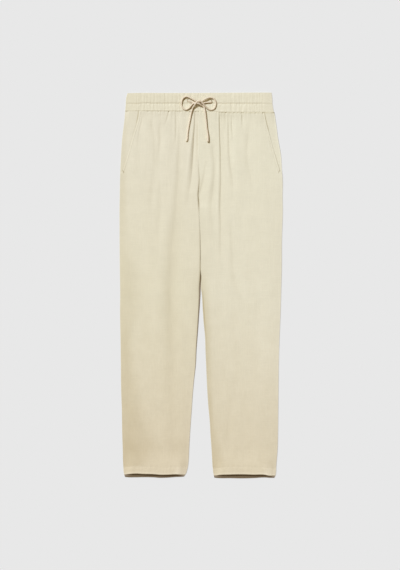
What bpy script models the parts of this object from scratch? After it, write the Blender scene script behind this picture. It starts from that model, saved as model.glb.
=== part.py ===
"""Linen drawstring trousers, laid out flat on a table with the front up.

The back panels lie on the table, the front panels lie over them with their soft
pleats, and the waistband is gathered by its elastic. "Right" and "left" are the
wearer's, so the right leg is on the -X side.

Frame: metres, +Z up, +Y towards the waist, origin under the middle of the
garment on the table. Tables are in millimetres, and "down" is the distance down
from the top edge of the waistband.
"""

import math

import bmesh
import bpy
import numpy as np

MM = 0.001

# ---------------------------------------------------------------- driving sizes
HALF_LENGTH = 516.8  # from the garment's middle to the top edge of the waistband
CLOTH = 1.6  # wall of one panel, with its seam allowances
BAND_WALL = 2.8  # back of the waistband: two cloths and the elastic
BAND_FRONT_BASE = 3.1  # underside of the waistband's front
BAND_FRONT_WALL = 3.0  # front of the waistband, before its channels swell
SEAM_GAP = 0.3
EDGE_TOP = CLOTH + SEAM_GAP + CLOTH  # top of a front panel where it meets the back
LOFT = 2.6  # how much higher a front panel lies away from its edges
LOFT_REACH = 22.0  # distance from the edge over which it rises
HEM_LIFT = 0.8  # the front hem stands a little off the back one
HEM_REACH = 40.0
POCKET_LIFT = 2.2  # a front panel's rise over the pocket facing
POCKET_LIFT_REACH = 60.0
POCKET_END = 211.0  # where the pocket mouth meets the side seam
POCKET_FADE = 45.0
FACING_LOFT = 0.9
FACING_UNDERLAP = 10.0  # how far the facing runs under the front panel
FACING_END = 222.0  # down, where the facing ends under the front panel
EDGE_ROUND = 3.0  # width of the rounded edge of a panel
EDGE_DROP = 0.9  # how much lower the cloth is at its very edge

CORD_D = 4.5  # drawstring
CORD_LIFT = 0.35  # cord's clearance over the cloth
KNOT_CENTRE = (-3.2, 27.6)  # x, down
KNOT_HALF = (10.5, 8.2, 6.5)  # half sizes across, along and up
KNOT_LIFT = 0.4
KNOT_ROOM = 0.45  # between the knot and the ends of the stretches

# -------------------------------------------------------------------- outlines
# down, x of the right side, x of the left side
SIDES = np.array(
    [
        (0, -199.6, 189.9),
        (22, -202.6, 191.4),
        (47, -203.8, 194.4),
        (85, -207.2, 201.2),
        (127, -211.6, 207.2),
        (180, -214.8, 213.8),
        (234, -217.2, 217.8),
        (300, -218.6, 219.0),
        (400, -219.0, 217.2),
        (550, -217.6, 213.8),
        (700, -216.3, 209.4),
        (825, -214.2, 207.4),
        (930, -211.8, 205.6),
        (990, -209.8, 202.0),
        (1033, -205.4, 197.2),
    ]
)
# down, x of the middle line, gap between the legs: one seam down to the crotch,
# then two inseams that nearly touch, then the space between the shins
MIDDLE = np.array(
    [
        (0, -6.0, 0.3),
        (190, -7.0, 0.3),
        (279, -8.25, 1.1),
        (350, -6.8, 1.2),
        (420, -4.4, 1.2),
        (490, -1.8, 1.2),
        (545, -0.3, 1.2),
        (600, -0.4, 10.0),
        (660, -0.4, 20.4),
        (720, -0.6, 27.6),
        (825, -2.2, 42.0),
        (932, -2.7, 55.8),
        (1000, -2.4, 65.2),
        (1033, -2.5, 73.0),
    ]
)
# down, distance of the pocket mouth from the middle, both sides alike
POCKET_MOUTH = np.array([(47, 168.0), (75, 173.5), (107, 183.0), (152, 196.0), (193, 208.0), (211, 213.5)])
# x, down of the seam under the waistband
BAND_SEAM = np.array([(-205, 46.6), (0, 48.6), (200, 51.2)])
# x, down of the front hem and of the back hem, which shows below it
HEMS = np.array(
    [
        (-208, 1023.5, 1031.0),
        (-185, 1020.8, 1031.2),
        (-118, 1022.6, 1032.0),
        (-95, 1023.8, 1032.4),
        (-60, 1022.4, 1030.6),
        (-38, 1023.0, 1027.0),
        (33, 1026.6, 1030.5),
        (60, 1023.8, 1033.0),
        (120, 1022.8, 1033.0),
        (165, 1023.6, 1032.4),
        (200, 1027.4, 1031.0),
    ]
)

# --------------------------------------------------------------- pleats, creases
# Each is a trough that runs down a front panel:
# down, x of its bottom, depth, half width
RIGHT_PLEATS = {
    "beside_pocket": ((52, -157, 0.5, 3.0), (75, -161, 0.9, 3.0), (110, -167, 0.6, 3.0), (150, -172, 0.0, 4.0)),
    "hip": ((50, -127, 0.6, 4.0), (90, -128, 0.9, 6.0), (155, -129.5, 1.1, 7.0), (220, -131, 0.6, 8.0), (290, -134, 0.0, 9.0)),
    "thigh": ((50, -89, 0.8, 4.0), (83, -99, 1.2, 5.0), (112, -108, 1.4, 6.0), (190, -116, 1.3, 7.0), (290, -121, 0.0, 8.0)),
    "short": ((50, -68.7, 1.4, 3.0), (110, -68.7, 0.9, 3.5), (150, -72, 0.0, 5.0)),
    "long": (
        (60, -54, 0.2, 4.0),
        (112, -60, 0.9, 4.0),
        (180, -61, 1.4, 6.0),
        (250, -66, 1.8, 9.0),
        (354, -77, 2.1, 13.0),
        (488, -90, 2.1, 15.0),
        (635, -90, 1.9, 15.0),
        (740, -78, 1.2, 14.0),
        (850, -64, 0.0, 14.0),
    ),
    "centre": ((50, -15.5, 1.4, 3.5), (93, -18, 2.2, 5.0), (131, -21.5, 2.6, 6.0), (179, -26, 2.4, 7.0), (222, -31, 1.0, 8.0), (270, -36, 0.0, 9.0)),
}
LEFT_PLEATS = {
    "crotch": ((150, 15, 0.0, 6.0), (215, 11, 0.9, 6.0), (262, 4, 1.0, 5.0), (300, 3, 0.0, 5.0)),
    "inner": ((100, 37, 0.0, 6.0), (150, 36, 0.9, 7.0), (230, 33, 1.2, 8.0), (327, 28, 0.9, 9.0), (410, 26, 0.0, 9.0)),
    "centre": ((51, 49.5, 1.8, 3.0), (93, 47.5, 2.4, 3.4), (193, 50.5, 2.5, 3.8), (287, 52, 2.2, 5.0), (354, 50.5, 1.4, 7.0), (450, 53, 0.0, 10.0)),
    "thigh": ((52, 75, 0.9, 4.0), (125, 73.5, 1.1, 6.0), (193, 76, 0.8, 7.0), (270, 81, 0.0, 8.0)),
    "knee": ((330, 76, 0.0, 8.0), (394, 80, 1.0, 9.0), (475, 88, 1.5, 9.0), (560, 93, 0.0, 12.0)),
    "short": ((52, 109.5, 1.3, 3.5), (80, 109, 0.6, 4.5), (112, 110, 0.0, 6.0)),
    "hip": ((52, 118, 0.2, 5.0), (90, 119, 0.9, 7.0), (152, 121, 1.0, 8.0), (210, 127, 0.7, 9.0), (290, 140, 0.0, 10.0)),
}
PLEAT_SHARE = 1.2  # a pleat's side columns stand this many half widths from it
COLUMN_STEP = 1.6  # least distance between two columns
SPREAD = {-1: 0.6, 1: 1.0}  # how evenly the columns lie at the shin, by side
LIP = 0.22  # the roll on each side of a pleat, as a share of its depth

# Rows of the panels, in mm down from the waistband's seam; the last one is the hem
FRONT_ROWS = (0, 6, 18, 35, 56, 80, 108, 138, 162, 174, 198, 232, 270, 312, 358, 408, 462, 500, 560, 625, 690, 755, 820, 880, 925, 950, 966, 974)
BACK_ROWS = (0, 60, 108, 162, 232, 312, 408, 500, 560, 690, 820, 925, 966, 974)
FACING_ROWS = (0, 18, 35, 56, 80, 108, 138, 162, 174)

# ------------------------------------------------------------------- waistband
BAND_GATHERS = 34
BAND_POINTS_PER_GATHER = 3
BAND_GATHER_DEPTH = 0.55
# share of the band's height, swell of the cloth, share of the gathers' depth
BAND_PROFILE = ((0, -1.1, 0.3), (0.04, -0.1, 0.7), (0.25, 0.7, 1.0), (0.46, 0.3, 0.8), (0.53, -0.35, 0.5), (0.6, 0.3, 0.8), (0.8, 0.75, 1.0), (0.97, 0.1, 0.6), (1, -0.6, 0.3))
BAND_EDGE = 3.5
BUTTONHOLE = (11.6, 6.6, 2.4)  # across, along, deep
BUTTONHOLE_CORNER = 1.6
BUTTONHOLES_X = (-33.0, 28.0)
BUTTONHOLE_DOWN = 20.0

# ------------------------------------------------------------------ drawstring
# x, down and height of the cord over the cloth it lies on. A stretch starts at
# the knot's middle, and is cut off where it comes out of the knot.
ENTRY_RIGHT = ((-3, 27, 1.2), (-14, 24.6, 0.9), (-21, 22.4, 0.5), (-27, 20.8, 0.2), (-31.5, 20.1, -0.5), (-36, 20, -2.4))
ENTRY_LEFT = ((-3, 27, 1.2), (8, 24.8, 0.9), (16, 22.6, 0.5), (22, 20.9, 0.2), (26.5, 20.1, -0.5), (31, 20, -2.4))
LOOP_RIGHT = (
    (-2, 24.5, 6.0),
    (-11, 20.4, 4.6),
    (-21, 14.6, 1.4),
    (-32, 10.2, 0),
    (-42, 11.0, 0),
    (-49, 18.0, 0),
    (-50.6, 29.0, 0),
    (-46.6, 39.5, 0),
    (-38.5, 45.4, 0),
    (-29, 42.6, 0.2),
    (-20.5, 36.2, 1.6),
    (-12, 30.4, 4.6),
    (-2, 27.5, 6.0),
)
LOOP_LEFT = (
    (-2, 24.5, 6.0),
    (7, 20.6, 4.6),
    (16, 15.4, 1.4),
    (27, 12.0, 0),
    (37, 15.4, 0),
    (43.6, 25.0, 0),
    (43.6, 36.5, 0),
    (37.0, 45.4, 0),
    (28.0, 46.6, 0.2),
    (18.8, 40.2, 1.6),
    (9.4, 31.6, 4.6),
    (-2, 27.5, 6.0),
)
END_RIGHT = (
    (-3.4, 28.0, 5.4),
    (-9.6, 35.4, 3.4),
    (-15.4, 43.0, 1.4),
    (-21.4, 53.0, 0.1),
    (-26.6, 70.0, 0),
    (-30.6, 90.0, 0),
    (-33.6, 110.0, 0),
    (-35.6, 122.0, 0),
    (-37.4, 131.5, 0),
)
END_LEFT = (
    (0.4, 28.0, 5.4),
    (5.6, 37.4, 3.4),
    (10.8, 46.0, 1.4),
    (14.4, 55.0, 0.1),
    (16.8, 72.0, 0),
    (18.8, 92.0, 0),
    (21.2, 110.0, 0),
    (22.6, 122.0, 0),
    (22.8, 133.5, 0),
)
CORD_STEP = 7.0
CORD_STEP_TIGHT = 3.5  # where a stretch dips into its buttonhole
CORD_SIDES_RESOLUTION = 2
KNOT_RINGS = 14
KNOT_SEGMENTS = 22
KNOT_GROOVE = 0.13

# ------------------------------------------------------------------- materials
# colour, roughness
LINEN = ((0.76, 0.71, 0.55), 0.9)
BAND_LINEN = ((0.78, 0.73, 0.57), 0.9)
FACING_LINEN = ((0.74, 0.69, 0.53), 0.9)
CORD = ((0.80, 0.71, 0.55), 0.8)


# --------------------------------------------------------------------- helpers
def curve(table, at, column=1):
    """A smooth curve through a table's column, read at a value of its first."""
    table = np.asarray(table, float)
    known, value = table[:, 0], table[:, column]
    slope = np.gradient(value, known)
    i = int(np.clip(np.searchsorted(known, at) - 1, 0, len(known) - 2))
    step = known[i + 1] - known[i]
    p = min(max((at - known[i]) / step, 0.0), 1.0)
    ends = value[i] * (1 + 2 * p) * (1 - p) ** 2 + value[i + 1] * p * p * (3 - 2 * p)
    return float(ends + step * (slope[i] * p * (1 - p) ** 2 - slope[i + 1] * p * p * (1 - p)))


def ease(share):
    """0 to 1, level at both ends."""
    p = min(max(share, 0.0), 1.0)
    return p * p * (3 - 2 * p)


def side_x(side, down):
    """x of the garment's outer edge on side -1 (right) or +1 (left)."""
    return curve(SIDES, down, 1 if side < 0 else 2)


def inner_x(side, down):
    """x of a panel's inner edge: the centre seam, and below it the inseam."""
    return curve(MIDDLE, down) + side * max(curve(MIDDLE, down, 2), SEAM_GAP) / 2


def front_outer_x(side, down):
    """x of a front panel's outer edge: the pocket mouth, then the side seam."""
    if down >= POCKET_END:
        return side_x(side, down)
    mouth = side * curve(POCKET_MOUTH, down)
    return side * min(side * mouth, side * side_x(side, down))


def pocket_share(down):
    """1 where the front panel lies over the pocket facing, 0 well below it."""
    return 1 - ease((down - FACING_END - 4) / POCKET_FADE)


def facing_top(side, x, down):
    from_edge = side * (side_x(side, down) - x)
    return EDGE_TOP + FACING_LOFT * ease(from_edge / LOFT_REACH)


def pleat_depth(pleats, x, down):
    """How far the pleats lower the cloth here; a pleat's lips raise it a little."""
    total = 0.0
    for table in pleats.values():
        if not table[0][0] - 1 <= down <= table[-1][0]:
            continue
        away = abs(x - curve(table, down)) / max(curve(table, down, 3), 1.0)
        depth = max(curve(table, down, 2), 0.0)
        total += depth * math.exp(-2.2 * away**1.5)
        total -= depth * LIP * math.exp(-(((away - 1.5) / 0.6) ** 2))
    return total


def front_top(side, x, down):
    """Height of the top of a front panel over the table."""
    from_side = side * (side_x(side, down) - x)
    from_inner = side * (x - inner_x(side, down))
    open_leg = ease((down - 190) / 100)
    height = EDGE_TOP + LOFT * ease(from_side / LOFT_REACH)
    height -= open_leg * LOFT * (1 - ease(from_inner / LOFT_REACH))
    height += POCKET_LIFT * pocket_share(down) * (1 - ease(from_side / POCKET_LIFT_REACH))
    hem = curve(HEMS, x)
    height += HEM_LIFT * ease(1 - (hem - down) / HEM_REACH) * ease(min(from_side, from_inner) / LOFT_REACH)
    pleats = RIGHT_PLEATS if side < 0 else LEFT_PLEATS
    # The gathers are flat where the cloth is caught in the waistband's seam.
    caught = 0.35 + 0.65 * ease((down - curve(BAND_SEAM, x)) / 14)
    return max(height - caught * pleat_depth(pleats, x, down), EDGE_TOP)


def band_gather(x):
    """-1 to 1: the waves that the elastic gathers, uneven in width and height."""
    along = (x + 205) / 400 * BAND_GATHERS
    wander = 0.34 * math.sin(along * 1.7 + 0.4) + 0.22 * math.sin(along * 0.61 + 2.0)
    strength = 0.72 + 0.28 * math.sin(along * 0.83 + 1.1)
    return strength * math.cos(2 * math.pi * (along + wander))


def band_top(x, down):
    """Height of the waistband's front over the table."""
    share = min(max(down / curve(BAND_SEAM, x), 0.0), 1.0)
    swell, gathers = (curve(BAND_PROFILE, share, column) for column in (1, 2))
    return BAND_FRONT_BASE + BAND_FRONT_WALL + swell + gathers * BAND_GATHER_DEPTH * band_gather(x)


def cloth_top(x, down):
    """Height of whatever lies on top here, under the drawstring."""
    if down < curve(BAND_SEAM, x):
        return band_top(x, down)
    return front_top(-1 if x < inner_x(-1, down) else 1, x, down)


def rest_height(x, down):
    """Height of the middle of a cord that lies here, clear of what is under it."""
    reach = 0.45 * CORD_D
    around = [(reach * math.cos(a), reach * math.sin(a)) for a in np.linspace(0, 2 * math.pi, 9)]
    highest = max(cloth_top(x + dx, down + dy) for dx, dy in [(0, 0), *around])
    return highest + CORD_D / 2 + CORD_LIFT


def place(x, down, height):
    """A point in the part's frame, in metres."""
    return (x * MM, (HALF_LENGTH - down) * MM, height * MM)


def finish(name, look):
    colour, roughness = look
    made = bpy.data.materials.new(name)
    made.use_nodes = True
    shader = made.node_tree.nodes["Principled BSDF"]
    shader.inputs["Base Color"].default_value = (*colour, 1)
    shader.inputs["Roughness"].default_value = roughness
    shader.inputs["Metallic"].default_value = 0
    return made


def wall(name, tops, bottoms, look):
    """One closed sheet of cloth from two grids of points, row by row."""
    rows, columns = len(tops), len(tops[0])
    mesh = bmesh.new()
    upper = [[mesh.verts.new(p) for p in row] for row in tops]
    lower = [[mesh.verts.new(p) for p in row] for row in bottoms]
    for r in range(rows - 1):
        for c in range(columns - 1):
            mesh.faces.new((upper[r][c], upper[r + 1][c], upper[r + 1][c + 1], upper[r][c + 1]))
            mesh.faces.new((lower[r][c], lower[r][c + 1], lower[r + 1][c + 1], lower[r + 1][c]))
    rim = [(0, c) for c in range(columns)]
    rim += [(r, columns - 1) for r in range(1, rows)]
    rim += [(rows - 1, c) for c in range(columns - 2, -1, -1)]
    rim += [(r, 0) for r in range(rows - 2, 0, -1)]
    for (r, c), (s, d) in zip(rim, rim[1:] + rim[:1]):
        mesh.faces.new((upper[r][c], upper[s][d], lower[s][d], lower[r][c]))
    bmesh.ops.recalc_face_normals(mesh, faces=mesh.faces)
    return add(name, mesh, look)


def add(name, mesh, look):
    data = bpy.data.meshes.new(name)
    mesh.to_mesh(data)
    mesh.free()
    data.shade_smooth()
    data.set_sharp_from_angle(angle=math.radians(50))
    made = bpy.data.objects.new(name, data)
    bpy.context.scene.collection.objects.link(made)
    data.materials.append(finish(name, look))
    return made


def edge_drop(from_edge):
    """How much lower a panel lies close to its free edge."""
    return EDGE_DROP * (1 - ease(from_edge / EDGE_ROUND))


# ---------------------------------------------------------------------- panels
def front_columns(side, down):
    """x of a front panel's columns at one level, from the inner edge outwards.

    Each pleat has one column along its bottom and one on each side of it.
    """
    low, high = side * inner_x(side, down), side * front_outer_x(side, down)
    middles = []
    for table in (RIGHT_PLEATS if side < 0 else LEFT_PLEATS).values():
        at = min(max(down, table[0][0]), table[-1][0])
        x, reach = side * curve(table, at), PLEAT_SHARE * curve(table, at, 3)
        middles += [x - reach, x, x + reach]
    middles.sort()
    count = len(middles)
    for i, x in enumerate(middles):
        # Where the pleats have run out, the columns spread evenly.
        even = low + (high - low) * (i + 1) / (count + 1)
        middles[i] = x + (even - x) * ease((down - 250) / 550) * SPREAD[side]
    middles[0] = max(middles[0], low + EDGE_ROUND + COLUMN_STEP)
    for i in range(1, count):
        middles[i] = max(middles[i], middles[i - 1] + COLUMN_STEP)
    middles[-1] = min(middles[-1], high - EDGE_ROUND - COLUMN_STEP)
    for i in range(count - 2, -1, -1):
        middles[i] = min(middles[i], middles[i + 1] - COLUMN_STEP)
    edge = (0, 0.9, EDGE_ROUND)
    return [side * x for x in (*(low + e for e in edge), *middles, *(high - e for e in reversed(edge)))]


def level(x, row, hem_column):
    """Distance down of one of a panel's rows at x; the last row is the hem."""
    seam, hem = curve(BAND_SEAM, x) + SEAM_GAP, curve(HEMS, x, hem_column)
    return seam + (hem - seam) * row / FRONT_ROWS[-1]


def front_panel(side):
    """One front leg, from the waistband's seam to its hem, cut away at the pocket."""
    tops, bottoms = [], []
    for row in FRONT_ROWS:
        top_row, bottom_row = [], []
        for c, x in enumerate(front_columns(side, row + BAND_SEAM[1][1])):
            down = level(x, row, 1)
            columns = front_columns(side, down)
            x = columns[c]
            down = level(x, row, 1)
            from_outer, from_inner = side * (columns[-1] - x), side * (x - columns[0])
            drop = edge_drop(from_outer) + edge_drop(curve(HEMS, x) - down)
            drop += ease((down - 190) / 100) * edge_drop(from_inner)
            height = front_top(side, x, down)
            top_row.append(place(x, down, height - min(drop, EDGE_DROP)))
            bottom_row.append(place(x, down, height - CLOTH))
        tops.append(top_row)
        bottoms.append(bottom_row)
    return wall("front_right" if side < 0 else "front_left", tops, bottoms, LINEN)


def back_panel(side):
    """One back leg. It lies flat on the table, so its outside is plain."""
    tops, bottoms = [], []
    for row in BACK_ROWS:
        top_row, bottom_row = [], []
        for across in (0, 0.01, 0.25, 0.5, 0.75, 0.99, 1):
            down = row + BAND_SEAM[1][1]
            for _ in range(2):
                start, end = inner_x(side, down), side_x(side, down)
                x = start + across * (end - start)
                down = level(x, row, 2)
            at_edge = across in (0, 1) or row == BACK_ROWS[-1]
            top_row.append(place(x, down, CLOTH - (0.5 if at_edge else 0)))
            bottom_row.append(place(x, down, 0))
        tops.append(top_row)
        bottoms.append(bottom_row)
    return wall("back_right" if side < 0 else "back_left", tops, bottoms, LINEN)


def pocket_facing(side):
    """The hip piece that shows in the pocket mouth, and runs on under the front."""
    tops, bottoms = [], []
    for row in FACING_ROWS:
        top_row, bottom_row = [], []
        for across in (0, 0.25, 0.5, 0.75, 0.94, 1):
            down = row + BAND_SEAM[1][1]
            for _ in range(2):
                mouth = curve(POCKET_MOUTH, min(down, POCKET_END)) - FACING_UNDERLAP
                x = side * (mouth + across * (side * side_x(side, down) - mouth))
                down = level(x, row, 1)
            height = facing_top(side, x, down)
            top_row.append(place(x, down, height - (EDGE_DROP if across == 1 else 0)))
            bottom_row.append(place(x, down, height - CLOTH))
        tops.append(top_row)
        bottoms.append(bottom_row)
    return wall("pocket_facing_right" if side < 0 else "pocket_facing_left", tops, bottoms, FACING_LINEN)


# ------------------------------------------------------------------- waistband
def waistband_front():
    """The gathered casing, with a buttonhole on each side of the knot."""
    tops, bottoms = [], []
    count = BAND_GATHERS * BAND_POINTS_PER_GATHER
    for share, _, _ in BAND_PROFILE:
        top_row, bottom_row = [], []
        nominal = share * 48.8
        start, end = side_x(-1, nominal), side_x(1, nominal)
        inside = np.linspace(start + BAND_EDGE, end - BAND_EDGE, count)
        for x in [start, start + 1.0, *inside, end - 1.0, end]:
            down = share * (curve(BAND_SEAM, x) - 0)
            drop = 1.6 * (1 - ease(min(x - start, end - x) / BAND_EDGE))
            top_row.append(place(x, down, band_top(x, down) - drop))
            bottom_row.append(place(x, down, BAND_FRONT_BASE))
        tops.append(top_row)
        bottoms.append(bottom_row)
    band = wall("waistband_front", tops, bottoms, BAND_LINEN)
    for x in BUTTONHOLES_X:
        cut_buttonhole(band, x)
    return band


def cut_buttonhole(band, x):
    """A slot for the cord, cut from the top and not right through."""
    across, along, deep = (size * MM for size in BUTTONHOLE)
    top = band_top(x, BUTTONHOLE_DOWN) * MM
    mesh = bmesh.new()
    bmesh.ops.create_cube(mesh, size=1)
    height = deep + 4 * MM
    _, y, _ = place(x, BUTTONHOLE_DOWN, 0)
    for vert in mesh.verts:
        vert.co = (x * MM + vert.co.x * across, y + vert.co.y * along, top - deep + (vert.co.z + 0.5) * height)
    upright = [e for e in mesh.edges if abs(e.verts[0].co.z - e.verts[1].co.z) > deep]
    bmesh.ops.bevel(mesh, geom=upright, offset=BUTTONHOLE_CORNER * MM, segments=3, affect="EDGES")
    cutter = add(f"buttonhole_cutter_{'right' if x < 0 else 'left'}", mesh, BAND_LINEN)
    cutter.hide_render = True
    cutter.display_type = "WIRE"
    cut = band.modifiers.new("buttonhole", "BOOLEAN")
    cut.operation, cut.object, cut.solver = "DIFFERENCE", cutter, "EXACT"


def waistband_back():
    """The back of the casing, flat on the table."""
    tops, bottoms = [], []
    for share in (0, 0.03, 0.5, 0.97, 1):
        top_row, bottom_row = [], []
        nominal = share * 48.8
        start, end = side_x(-1, nominal), side_x(1, nominal)
        for across in (0, 0.005, 0.2, 0.4, 0.6, 0.8, 0.995, 1):
            x = start + across * (end - start)
            down = share * curve(BAND_SEAM, x)
            at_edge = across in (0, 1) or share in (0, 1)
            top_row.append(place(x, down, BAND_WALL - (0.9 if at_edge else 0)))
            bottom_row.append(place(x, down, 0))
        tops.append(top_row)
        bottoms.append(bottom_row)
    return wall("waistband_back", tops, bottoms, BAND_LINEN)


# ------------------------------------------------------------------ drawstring
def knot_place():
    x, down = KNOT_CENTRE
    return np.array(place(x, down, cloth_top(x, down) + KNOT_LIFT + KNOT_HALF[2]))


def read_curve(points, at):
    """Points at given distances along a smooth curve through other points."""
    along = np.concatenate([[0], np.cumsum(np.linalg.norm(np.diff(points, axis=0), axis=1))])
    tables = [np.column_stack([along, points[:, k]]) for k in range(3)]
    return np.array([[curve(table, a * along[-1]) for table in tables] for a in at])


def out_of_knot(line):
    """The stretch of a line whose cord, end faces too, is clear of the knot."""
    room = (np.array(KNOT_HALF) + KNOT_ROOM) * MM
    clear = []
    for i, point in enumerate(line):
        ahead = line[min(i + 1, len(line) - 1)] - line[max(i - 1, 0)]
        ahead /= np.linalg.norm(ahead)
        across = np.cross(ahead, (0, 0, 1))
        across /= np.linalg.norm(across)
        up = np.cross(across, ahead)
        turns = np.linspace(0, 2 * math.pi, 12, endpoint=False)
        rim = [point + CORD_D / 2 * MM * (math.cos(t) * across + math.sin(t) * up) for t in turns]
        clear.append(min(np.linalg.norm((p - knot_place()) / room) for p in (point, *rim)) > 1)
    kept = [i for i, is_clear in enumerate(clear) if is_clear]
    return line[kept[0] : kept[-1] + 1]


def cord(name, route, step=CORD_STEP):
    """A stretch of the drawstring, along a smooth curve through its route."""
    points = np.array([place(x, down, rest_height(x, down) + above) for x, down, above in route])
    line = out_of_knot(read_curve(points, np.linspace(0, 1, 400)))
    length = np.linalg.norm(np.diff(line, axis=0), axis=1).sum()
    count = max(3, round(length / (step * MM)))
    line = line[np.round(np.linspace(0, len(line) - 1, count + 1)).astype(int)]
    data = bpy.data.curves.new(name, "CURVE")
    data.dimensions = "3D"
    data.bevel_depth = CORD_D / 2 * MM
    data.bevel_resolution = CORD_SIDES_RESOLUTION
    data.use_fill_caps = True
    spline = data.splines.new("POLY")
    spline.points.add(len(line) - 1)
    for point, co in zip(spline.points, line):
        point.co = (*co, 1)
    made = bpy.data.objects.new(name, data)
    bpy.context.scene.collection.objects.link(made)
    data.materials.append(finish(name, CORD))
    return made


def knot():
    """The bow's knot: a rounded body with the grooves between its wraps."""
    mesh = bmesh.new()
    bmesh.ops.create_uvsphere(mesh, u_segments=KNOT_SEGMENTS, v_segments=KNOT_RINGS, radius=1)
    for vert in mesh.verts:
        x, y, z = vert.co
        lean = x + 0.25 * y
        groove = sum(math.exp(-(((lean - at) / 0.16) ** 2)) for at in (-0.42, 0.42))
        vert.co *= 1 - KNOT_GROOVE * groove * ease((z + 0.4) / 0.8)
        vert.co = knot_place() + np.array(vert.co) * np.array(KNOT_HALF) * MM
    return add("drawstring_knot", mesh, CORD)


def main():
    for old in list(bpy.data.objects):
        bpy.data.objects.remove(old)
    for side in (-1, 1):
        back_panel(side)
        pocket_facing(side)
        front_panel(side)
    waistband_back()
    waistband_front()
    knot()
    cord("drawstring_entry_right", ENTRY_RIGHT, CORD_STEP_TIGHT)
    cord("drawstring_entry_left", ENTRY_LEFT, CORD_STEP_TIGHT)
    cord("drawstring_loop_right", LOOP_RIGHT)
    cord("drawstring_loop_left", LOOP_LEFT)
    cord("drawstring_end_right", END_RIGHT)
    cord("drawstring_end_left", END_LEFT)


main()
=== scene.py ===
# %% [markdown]
# # Linen drawstring trousers, laid out flat
# A maker cuts two front legs, two back legs, two pocket facings and a waistband,
# and threads a cord through the waistband. Laid on a table, the back panels press
# flat and the front panels lie loosely over them, full of soft pleats that start
# at the gathered waist. Each panel here is a thin shell of cloth whose height over
# the table is worked out from short tables of pleats, as a maker would lay them.
#
# The frame holds the measured model that everything is fitted to. +Y points to
# the waist, +Z up, and "right" and "left" are the wearer's, so right is at -X.
# In the code, side -1 is the right one and side 1 the left one.

# %% Load the frame
import math
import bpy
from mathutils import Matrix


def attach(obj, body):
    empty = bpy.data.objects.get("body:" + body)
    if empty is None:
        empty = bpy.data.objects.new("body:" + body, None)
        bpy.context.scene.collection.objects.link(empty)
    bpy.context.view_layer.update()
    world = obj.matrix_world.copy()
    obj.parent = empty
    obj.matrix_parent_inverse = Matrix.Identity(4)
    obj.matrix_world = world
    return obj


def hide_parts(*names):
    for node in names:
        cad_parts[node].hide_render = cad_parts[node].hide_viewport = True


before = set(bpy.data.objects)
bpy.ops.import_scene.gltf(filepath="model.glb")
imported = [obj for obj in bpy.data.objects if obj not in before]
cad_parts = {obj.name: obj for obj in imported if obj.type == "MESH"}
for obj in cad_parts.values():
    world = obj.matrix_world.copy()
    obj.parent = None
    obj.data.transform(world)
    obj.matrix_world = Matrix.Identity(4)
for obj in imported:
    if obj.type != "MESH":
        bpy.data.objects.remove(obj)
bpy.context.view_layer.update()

from types import SimpleNamespace

import bpy
import numpy as np

MM = 0.001
print("frame nodes:", ", ".join(sorted(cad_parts)))


def place(name, data):
    """A new object at the origin of the scene."""
    made = bpy.data.objects.new(name, data)
    bpy.context.scene.collection.objects.link(made)
    return made


# %% [markdown]
# ## Camera, table and light
# The trousers are seen from straight above through a long lens, so that nothing
# leans. The table is one plain pale sheet. The light is soft and comes from the
# waist end, on the side of the right leg: a broad sun lamp for direction, and an
# even sky that fills the shadows.

# %% Camera
VIEW_CENTRE = (-0.0029, 0.0021)
VIEW_HEIGHT = 1.530  # metres from the top to the bottom of the frame
VIEW_LEVEL = 0.006  # height over the table, near the cloth's top, where it is that
lens = bpy.data.cameras.new("camera")
lens.type, lens.lens, lens.sensor_width = "PERSP", 85, 36
lens.clip_end = 50
camera = place("camera", lens)
camera.location = (*VIEW_CENTRE, VIEW_HEIGHT * lens.lens / lens.sensor_width + VIEW_LEVEL)
bpy.context.scene.camera = camera
bpy.context.scene.view_settings.view_transform = "Standard"
print("camera height:", round(camera.location.z, 3))

# %% Light
# Even light from everywhere, as a share of what the table gets. It is warm, since
# it has bounced off walls and cloth, and the window's share makes the sum white.
SKY = (0.37, 0.31, 0.22)
SUN_FROM = (-0.68, 0.73)  # x and y of where the light comes from
SUN_ELEVATION = math.radians(43)
sun_data = bpy.data.lights.new("window_light", "SUN")
sun_data.energy = math.pi / math.sin(SUN_ELEVATION)
sun_data.color = tuple(1 - share for share in SKY)
sun_data.angle = math.radians(7)
sun = place("window_light", sun_data)
sun.rotation_euler = (0, math.pi / 2 - SUN_ELEVATION, math.atan2(SUN_FROM[1], SUN_FROM[0]))
world = bpy.data.worlds.new("even_sky")
world.use_nodes = True
world.node_tree.nodes["Background"].inputs["Color"].default_value = (*SKY, 1)
world.node_tree.nodes["Background"].inputs["Strength"].default_value = 1.0
bpy.context.scene.world = world

# %% [markdown]
# ## Reading a table
# Every shape here comes from a short table: how far down the garment, and what is
# measured there. One reader turns a column into a smooth curve, for one place or
# for a whole grid of places at once.


# %% Tables, smooth curves and smooth noise
def numbers(text):
    """A table from its text, where a bar parts the rows."""
    return np.array([row.split() for row in text.split("|")], float)


def read(table, at, column=1):
    """A smooth curve through a table's column, read at values of its first."""
    known, value = table[:, 0], table[:, column]
    slope = np.gradient(value, known)
    at = np.asarray(at, float)
    i = np.clip(np.searchsorted(known, at) - 1, 0, len(known) - 2)
    step = known[i + 1] - known[i]
    p = np.clip((at - known[i]) / step, 0, 1)
    ends = value[i] * (1 + 2 * p) * (1 - p) ** 2 + value[i + 1] * p * p * (3 - 2 * p)
    return ends + step * (slope[i] * p * (1 - p) ** 2 - slope[i + 1] * p * p * (1 - p))


def ease(share):
    """0 to 1, level at both ends."""
    p = np.clip(share, 0.0, 1.0)
    return p * p * (3 - 2 * p)


def between(value, start, rising, end, falling):
    """0, easing up to 1 from the start on, and down to 0 from the end on."""
    return ease((value - start) / rising) * (1 - ease((value - end) / falling))


def bell(value, centre, width):
    """1 at the centre and almost 0 two widths away."""
    return np.exp(-(((value - centre) / width) ** 2))


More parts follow.
